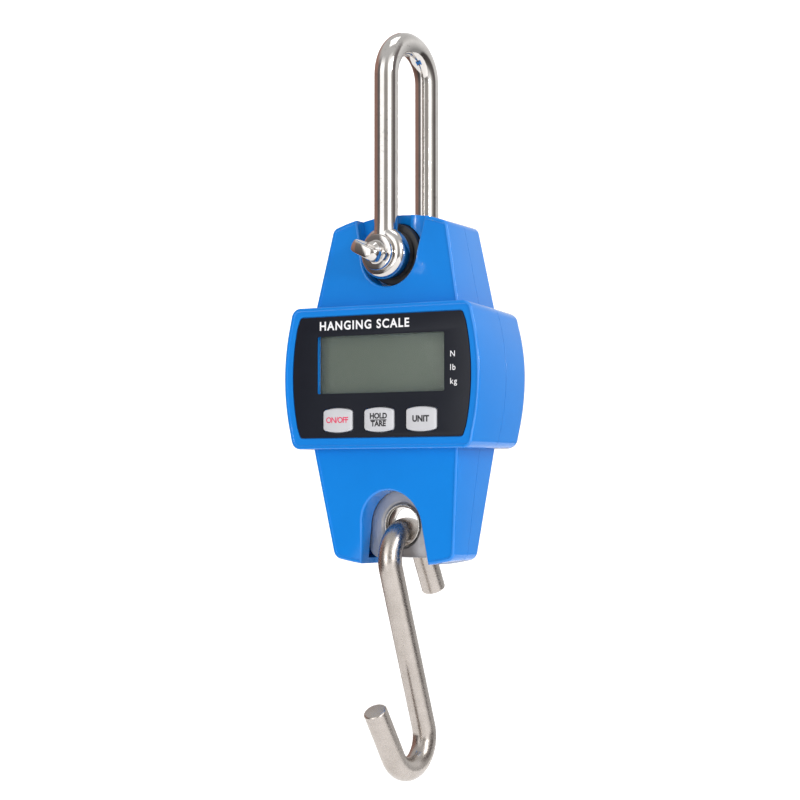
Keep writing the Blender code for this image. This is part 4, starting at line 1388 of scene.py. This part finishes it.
@dataclass
class Panel:
    """The black panel, window, display, keys and their printed words.

    Attributes:
        top: Upper end.
        bottom: Lower end.
        half: Half its width at the middle.
        window: Half width, lowest and highest Z of the window.
        key_z: Height of the keys.
        pitch: Distance between keys.
        key: Half width and half height of a key.
    """

    top: float = -20.6
    bottom: float = -61.3
    half: float = 35.7
    window: Point = (25.6, -46.5, -27.2)
    key_z: float = -55.5
    pitch: float = 16.8
    key: Flat = (5.9, 4.05)

    def outline(self) -> list[Flat]:
        """The panel, with bowed sides."""
        reach, centre = (self.top - self.bottom) / 2, (self.top + self.bottom) / 2
        low = arc((self.half - 4.1, self.bottom + 1.3), 1.3, -90, -15, 6)
        high = arc((self.half - 4.1, self.top - 1.3), 1.3, 15, 90, 6)
        side = []
        for i in range(2, 23):
            z = self.bottom + 2 * reach * i / 24
            side.append((self.half - 2.75 * ((z - centre) / reach) ** 2, z))
        return mirrored(low + side + high)

    def key_outline(self, x: float, grow: float = 0.0) -> list[Flat]:
        """A key with straight sides and bowed ends.

        Args:
            x: Its middle.
            grow: How much larger it is drawn.

        Returns:
            The outline.
        """
        wide, high = self.key[0] + grow, self.key[1] + grow
        ends = []
        for i in range(1, 10):
            share = 0.9 * i / 9
            ends.append((wide * share, high - 0.8 * share**2))
        corner = [(wide * 0.96, high - 0.95), (wide * 0.99, high - 1.2), (wide, high - 1.55)]
        half = [(px, -pz) for px, pz in ends + corner]
        half += [(px, pz) for px, pz in reversed(ends + corner)]
        return [(x + px, self.key_z + pz) for px, pz in mirrored(half)]

    def window_outline(self, grow: float = 0.0) -> list[Flat]:
        """The window, with small round corners."""
        half, low, high = self.window
        return rounded_box((-half - grow, half + grow), (low - grow, high + grow), 0.5, 4)

    def holes(self, window: float, key: float) -> list[bmesh.types.BMesh]:
        """Cutters for the window and the keys, each a little larger than its piece."""
        forms = [prism(self.window_outline(window), -30.0, -12.0)]
        forms += [prism(self.key_outline(i * self.pitch, key), -30.0, -12.0) for i in (-1, 0, 1)]
        return forms

    def build(self, bench: Workshop) -> None:
        """Make the panel's pieces."""
        film = prism(self.outline(), -16.2, -15.8, 0.12, 3)
        mesh = bench.carve("panel_film", film, [("DIFFERENCE", bench.helper(joined(self.holes(0.0, 0.3))))])
        bench.put("panel_film", mesh, FILM, Body.HOUSING, "overlay_panel")
        glass = prism(self.window_outline(-0.2), -15.3, -14.2, 0.1, 2)
        bench.put("window_pane", to_mesh("window_pane", glass), CLEAR, Body.HOUSING, "display_window")
        keys = ((-1, Body.KEY_POWER, "button_power"), (0, Body.KEY_HOLD, "button_hold_tare"),
                (1, Body.KEY_UNIT, "button_unit"))
        for i, body, node in keys:
            bench.put(f"cap_{node[7:]}", self.cap(bench, i * self.pitch), KEYCAP, body, node)
        self.words(bench)
        bench.clear()

    def cap(self, bench: Workshop, x: float) -> bpy.types.Mesh:
        """A key's cap with its flange and stem."""
        outline = self.key_outline(x)
        rings = [[(px, y, pz) for px, pz in inset(outline, shrink)]
                 for y, shrink in ((-13.2, 0.0), (-16.3, 0.0), (-16.52, 0.03), (-16.68, 0.14), (-16.79, 0.32),
                                   (-16.85, 0.6))]
        steps = [("UNION", bench.helper(prism(self.key_outline(x, 0.85), -13.5, -12.9))),
                 ("UNION", bench.helper(rod(1.5, (-13.2, -12.1), x, self.key_z, 24)))]
        return bench.carve("cap", loft(rings), steps)

    def words(self, bench: Workshop) -> None:
        """The printed words: the kind of tool, the units and what each key does."""
        face, cap = -16.2, -16.85
        self.word(bench, "title", "HANGING SCALE", -24.7, -23.8, 4.1, face, INK_WHITE, Body.HOUSING, "LEFT", 1.19)
        marks = (("unit_newton", "N", -34.6), ("unit_pound", "lb", -39.0), ("unit_kilogram", "kg", -43.5))
        for name, text, z in marks:
            self.word(bench, name, text, 27.8, z, 2.75, face, INK_WHITE, Body.HOUSING, "LEFT", 1.2, 0.004)
        thick = 0.045
        self.word(bench, "key_word_power", "ON/OFF", -self.pitch, self.key_z, 2.75, cap, INK_RED,
                  Body.KEY_POWER, "CENTER", 0.88, 0.02)
        self.word(bench, "key_word_hold", "HOLD", 0.0, -54.35, 2.5, cap, INK_BLACK,
                  Body.KEY_HOLD, "CENTER", 1.0, thick)
        self.word(bench, "key_word_tare", "TARE", 0.0, -56.9, 2.5, cap, INK_BLACK,
                  Body.KEY_HOLD, "CENTER", 1.0, thick)
        bar = prism([(-3.3, -55.79), (3.3, -55.79), (3.3, -55.46), (-3.3, -55.46)], cap - 0.02, cap + 0.02)
        bench.put("key_word_bar", to_mesh("bar", bar), INK_BLACK, Body.KEY_HOLD)
        self.word(bench, "key_word_unit", "UNIT", self.pitch, self.key_z, 2.8, cap, INK_BLACK,
                  Body.KEY_UNIT, "CENTER", 1.0, thick)

    def word(self, bench: Workshop, name: str, text: str, x: float, z: float, size: float, face: float,
             finish: Finish, body: Body, align: str, space: float = 1.0, bold: float = 0.025) -> None:
        """Print a word on a face that looks along -Y.

        Args:
            bench: The workshop.
            name: Name of the piece.
            text: The word.
            x: Its left end or its middle.
            z: Its middle height.
            size: Size of the letters.
            face: Where the face lies along Y.
            finish: The ink.
            body: The body that carries it.
            align: LEFT or CENTER.
            space: Factor on the letter spacing.
            bold: How far the strokes are widened, as a share of the size.
        """
        curve = bpy.data.curves.new(name, "FONT")
        curve.body = text
        curve.align_x = align
        curve.align_y = "CENTER"
        curve.size = size * MM
        curve.space_character = space
        curve.extrude = 0.02 * MM
        curve.offset = bold * size * MM
        curve.resolution_u = 4
        holder = bpy.data.objects.new("holder", curve)
        bpy.context.scene.collection.objects.link(holder)
        graph = bpy.context.evaluated_depsgraph_get()
        mesh = bpy.data.meshes.new_from_object(holder.evaluated_get(graph))
        bpy.data.objects.remove(holder, do_unlink=True)
        place = Matrix.Translation(Vector((x, face, z - CROWN)) * MM) @ Matrix.Rotation(math.pi / 2, 4, "X")
        mesh.transform(place)
        bench.put(name, mesh, finish, body)


@dataclass
class BatteryBay:
    """The battery door and what lies behind it.

    Attributes:
        half: Half the tub's width.
        low: Lower end of the tub.
        high: Upper end of the tub.
        pitch: Distance between the cells.
        cell_y: Depth of the cells' axes.
    """

    half: float = 30.0
    low: float = -60.9
    high: float = -22.7
    pitch: float = 11.6
    cell_y: float = 8.9

    def build(self, bench: Workshop) -> None:
        """Make the door, its grip ribs and the contact coils."""
        middle = (self.low + self.high) / 2
        reach = ((self.high - self.low) / 2 + 0.6)
        outline = rounded_box((-self.half - 1.6, self.half + 1.6), (middle - reach, middle + reach), 3.0, 8)
        rings = [[(x, y, z) for x, z in inset(outline, shrink)]
                 for y, shrink in ((14.5, 0.0), (15.2, 0.0), (15.6, 0.1), (15.9, 0.35), (16.05, 0.65), (16.1, 1.0))]
        lip = block((2.0 - self.half, self.half - 2.0), (12.6, 15.0), (self.low + 1.8, self.high - 1.8))
        core = block((3.4 - self.half, self.half - 3.4), (10.0, 14.5), (self.low + 3.0, self.high - 3.0))
        thumb = prism(rounded_box((-9.0, 9.0), (self.high - 8.6, self.high - 2.2), 3.1, 8), 15.5, 20.0)
        steps = [("UNION", bench.helper(lip)), ("DIFFERENCE", bench.helper(core)),
                 ("DIFFERENCE", bench.helper(thumb))]
        bench.put("bay_door", bench.carve("bay_door", loft(rings), steps), BLUE, Body.DOOR, "battery_door")
        rib = prism(rounded_box((-6.5, 6.5), (-0.35, 0.35), 0.3, 3), 15.3, 15.95, 0.15, 2)
        spots = [(0.0, 0.0, self.high - 7.1 + 1.15 * i) for i in range(4)]
        bench.put("door_ribs", scattered(bench, "ribs", rib, spots, BLUE), BLUE, Body.DOOR)
        for i, way in enumerate((1, -1, 1)):
            z = middle + self.pitch * (1 - i)
            mesh = self.coil(-way * 26.6, -way * 22.9, z)
            bench.put(f"bay_coil_{i + 1}", mesh, SPRING, Body.HOUSING, f"contact_spring_{i + 1}")
        bench.clear()

    def coil(self, x0: float, x1: float, z: float) -> bpy.types.Mesh:
        """A conical contact coil grown along a spiral.

        Args:
            x0: Its wide end.
            x1: Its narrow end.
            z: Height of its axis.

        Returns:
            The mesh.
        """
        grower = Grower("coil")
        spiral = grower.node("GeometryNodeCurveSpiral")
        spiral.inputs["Resolution"].default_value = 28
        for socket, name, value in (("Rotations", "Turns", 3.0), ("Start Radius", "Wide radius", 3.1 * MM),
                                    ("End Radius", "Narrow radius", 1.9 * MM),
                                     ("Height", "Length", abs(x1 - x0) * MM)):
            grower.link(grower.size(name, value), spiral.inputs[socket])
        wire = grower.node("GeometryNodeCurvePrimitiveCircle", mode="RADIUS")
        wire.inputs["Resolution"].default_value = 10
        grower.link(grower.size("Wire radius", 0.3 * MM), wire.inputs["Radius"])
        solid = grower.node("GeometryNodeCurveToMesh")
        solid.inputs["Fill Caps"].default_value = True
        grower.link(spiral.outputs["Curve"], solid.inputs["Curve"])
        grower.link(wire.outputs["Curve"], solid.inputs["Profile Curve"])
        mesh = grower.grow(solid.outputs["Mesh"], SPRING)
        turn = Matrix.Rotation(math.copysign(math.pi / 2, x1 - x0), 4, "Y")
        mesh.transform(Matrix.Translation(Vector((x0, self.cell_y, z - CROWN)) * MM) @ turn)
        return mesh


# Room, light and camera -------------------------------------------------------------------------


WARM_WALL: Colour = (0.20, 0.12, 0.10)
DARK_GAP: Colour = (0.10, 0.09, 0.09)
GREY_GAP: Colour = (0.24, 0.23, 0.22)
SOFT_BOX: Colour = (0.90, 0.90, 0.90)
PALE_WALL: Colour = (0.45, 0.45, 0.45)


@dataclass
class Studio:
    """A pale floor and backdrop, soft light all round and the camera.

    Attributes:
        azimuth: Camera's angle round the object, in degrees.
        elevation: Camera's angle above the horizon, in degrees.
        distance: Camera's distance in metres.
        lens: Focal length in millimetres on a 36 mm sensor.
        aim: Point that the camera looks at, in metres.
        bands: Angle from the camera's side in degrees, and the colour of the room there.
    """

    azimuth: float = 34.25
    elevation: float = -2.15
    distance: float = 0.7655
    lens: float = 102.2
    aim: Point = (-0.0019, -0.0013, -0.1165)
    bands: tuple[tuple[float, Colour], ...] = (
        (-180.0, WARM_WALL), (-95.0, WARM_WALL), (-90.0, DARK_GAP), (-65.0, DARK_GAP), (-60.0, SOFT_BOX),
        (-25.0, SOFT_BOX), (-17.0, GREY_GAP), (10.0, GREY_GAP), (20.0, SOFT_BOX), (42.0, SOFT_BOX),
        (56.0, GREY_GAP), (75.0, DARK_GAP), (94.0, DARK_GAP), (100.0, PALE_WALL), (180.0, PALE_WALL))

    def build(self) -> None:
        """Make the room."""
        self.floor()
        self.surround()
        self.lamp("key", (-0.10, -1.10, -0.15), 0.40, 1.5)
        self.lamp("rim", (1.08, -0.53, 0.06), 0.15, 3.2)
        self.lamp("fill", (1.05, -0.10, 0.45), 0.35, 2.8)
        self.lamp("above", (0.10, 0.10, 1.10), 0.60, 2.0)
        self.camera()
        bpy.context.scene.view_settings.view_transform = "Standard"

    def floor(self) -> None:
        """A pale floor and the curved backdrop behind it."""
        flat = [(-1.2 + 1.7 * i / 10, -0.32) for i in range(11)]
        curve = []
        for i in range(21):
            angle = math.pi / 2 * i / 20
            curve.append((0.5 + 0.5 * math.sin(angle), -0.32 + 0.5 * (1 - math.cos(angle))))
        curve.append((1.0, 1.2))
        painter = Painter("pale_floor")
        tone = painter.spread(painter.noise(painter.place, 3.0), 0.0, 1.0)
        pale = painter.mixed(tone, (0.90, 0.90, 0.90), (0.92, 0.92, 0.92))
        painter.link(pale, painter.shader.inputs["Base Color"])
        painter.shader.inputs["Roughness"].default_value = 0.9
        painter.shader.inputs["Emission Color"].default_value = (1.0, 1.0, 1.0, 1.0)
        painter.shader.inputs["Emission Strength"].default_value = 0.32
        self.sheet("floor", flat, 0.36, painter.material)
        self.sheet("backdrop", curve, 0.6, painter.material).visible_glossy = False

    def sheet(self, name: str, rows: Sequence[Flat], half: float, material: bpy.types.Material) -> bpy.types.Object:
        """A sheet across the view.

        Args:
            name: Its name.
            rows: Distance behind the object and height of each row.
            half: Half its width.
            material: Its material.

        Returns:
            The sheet.
        """
        turn = Matrix.Rotation(math.radians(self.azimuth), 3, "Z")
        verts, faces = [], []
        for y, z in rows:
            verts += [turn @ Vector((-half, y, z)), turn @ Vector((half, y, z))]
        for i in range(len(rows) - 1):
            faces.append((2 * i, 2 * i + 1, 2 * i + 3, 2 * i + 2))
        mesh = bpy.data.meshes.new(name)
        mesh.from_pydata(verts, [], faces)
        mesh.shade_smooth()
        mesh.materials.append(material)
        sheet = bpy.data.objects.new(name, mesh)
        bpy.context.scene.collection.objects.link(sheet)
        return sheet

    def surround(self) -> None:
        """Soft boxes and dark gaps all round, as upright bands, under a bright ceiling."""
        world = bpy.data.worlds.new("studio")
        world.use_nodes = True
        nodes, links = world.node_tree.nodes, world.node_tree.links
        place = nodes.new("ShaderNodeTexCoord")
        turn = nodes.new("ShaderNodeMapping")
        turn.inputs["Rotation"].default_value = (0.0, 0.0, math.radians(90.0 - self.azimuth))
        round_ = nodes.new("ShaderNodeTexGradient")
        round_.gradient_type = "RADIAL"
        ramp = nodes.new("ShaderNodeValToRGB")
        stops = ramp.color_ramp.elements
        for i, (angle, colour) in enumerate(self.bands):
            stop = stops[i] if i < 2 else stops.new(1.0)
            stop.position = angle / 360.0 + 0.5
            stop.color = (*colour, 1.0)
        axes = nodes.new("ShaderNodeSeparateXYZ")
        height = nodes.new("ShaderNodeMapRange")
        height.inputs["From Min"].default_value = 0.45
        height.inputs["From Max"].default_value = 0.75
        mix = nodes.new("ShaderNodeMix")
        mix.data_type = "RGBA"
        mix.inputs[7].default_value = (0.31, 0.31, 0.31, 1.0)
        lift = nodes.new("ShaderNodeMapRange")
        for name, value in (("From Min", -0.35), ("From Max", 0.35), ("To Min", 0.82), ("To Max", 2.18)):
            lift.inputs[name].default_value = value
        links.new(axes.outputs["Z"], lift.inputs["Value"])
        links.new(lift.outputs["Result"], nodes["Background"].inputs["Strength"])
        links.new(place.outputs["Generated"], turn.inputs["Vector"])
        links.new(turn.outputs["Vector"], round_.inputs["Vector"])
        links.new(round_.outputs["Fac"], ramp.inputs["Fac"])
        links.new(place.outputs["Generated"], axes.inputs["Vector"])
        links.new(axes.outputs["Z"], height.inputs["Value"])
        links.new(height.outputs["Result"], mix.inputs[0])
        links.new(ramp.outputs["Color"], mix.inputs[6])
        links.new(mix.outputs[2], nodes["Background"].inputs["Color"])
        bpy.context.scene.world = world

    def lamp(self, name: str, place: Point, size: float, power: float) -> None:
        """A soft lamp aimed at the housing.

        Args:
            name: Its name.
            place: Where it stands, in metres.
            size: Its width and height.
            power: Its power in watts.
        """
        light = bpy.data.lights.new(name, "AREA")
        light.shape = "SQUARE"
        light.size = size
        light.energy = power
        obj = bpy.data.objects.new(name, light)
        obj.location = place
        obj.rotation_euler = (Vector((0.0, 0.0, -0.11)) - Vector(place)).to_track_quat("-Z", "Y").to_euler()
        bpy.context.scene.collection.objects.link(obj)

    def camera(self) -> None:
        """The camera."""
        a, e = math.radians(self.azimuth), math.radians(self.elevation)
        back = Vector((math.sin(a) * math.cos(e), -math.cos(a) * math.cos(e), math.sin(e)))
        data = bpy.data.cameras.new("camera")
        data.lens = self.lens
        data.sensor_width = 36.0
        data.clip_start, data.clip_end = 0.01, 50.0
        obj = bpy.data.objects.new("camera", data)
        obj.location = Vector(self.aim) + back * self.distance
        obj.rotation_mode = "QUATERNION"
        obj.rotation_quaternion = (-back).to_track_quat("-Z", "Y")
        bpy.context.scene.collection.objects.link(obj)
        bpy.context.scene.camera = obj


# Pieces that keep their own shape ---------------------------------------------------------------

KEPT: dict[str, Finish] = {
    "lcd_cell": CRYSTAL, "lcd_backlight": MILKY, "zebra_strip": RUBBER, "main_pcb": BOARD,
    "controller_chip": RESIN, "adc_chip": RESIN, "crystal_can": ZINC, "battery_lead_black": RUBBER,
    "battery_lead_red": SLEEVE,
}
KEPT_BY_START: dict[str, Finish] = {
    "tact_switch_": RESIN, "pcb_screw_": ZINC, "load_cell_screw_": ZINC, "strain_gauge_": FOIL,
    "gauge_wire_": BOARD, "contact_plate_": SPRING, "battery_": JACKET,
}


def dress_kept(nodes: dict[str, bpy.types.Object]) -> None:
    """Give each shown node of the frame its finish.

    Args:
        nodes: The frame's nodes by name.
    """
    for name, obj in nodes.items():
        if obj.hide_render:
            continue
        finish = KEPT.get(name)
        if finish is None:
            finish = next(value for start, value in KEPT_BY_START.items() if name.startswith(start))
        obj.data.materials.clear()
        obj.data.materials.append(finish.material())
        LOG.info("%s keeps its shape", name)


def main() -> None:
    """Build the scale's looks around the frame."""
    logging.basicConfig(level=logging.INFO, format="%(message)s")
    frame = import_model()
    for obj in list(bpy.context.scene.objects):
        if obj.type in ("CAMERA", "LIGHT") or obj.name == "Cube":
            bpy.data.objects.remove(obj, do_unlink=True)
    bench = Workshop()
    panel = Panel()
    housing = Housing()
    housing.build(bench, panel)
    panel.build(bench)
    Shackle().build(bench)
    LoadCell().build(bench)
    Hook().build(bench)
    bench.clear()
    housing.fasteners(bench)
    bench.clear()
    BatteryBay().build(bench)
    dress_kept(frame["nodes"])
    Studio().build()


if __name__ == "__main__":
    main()
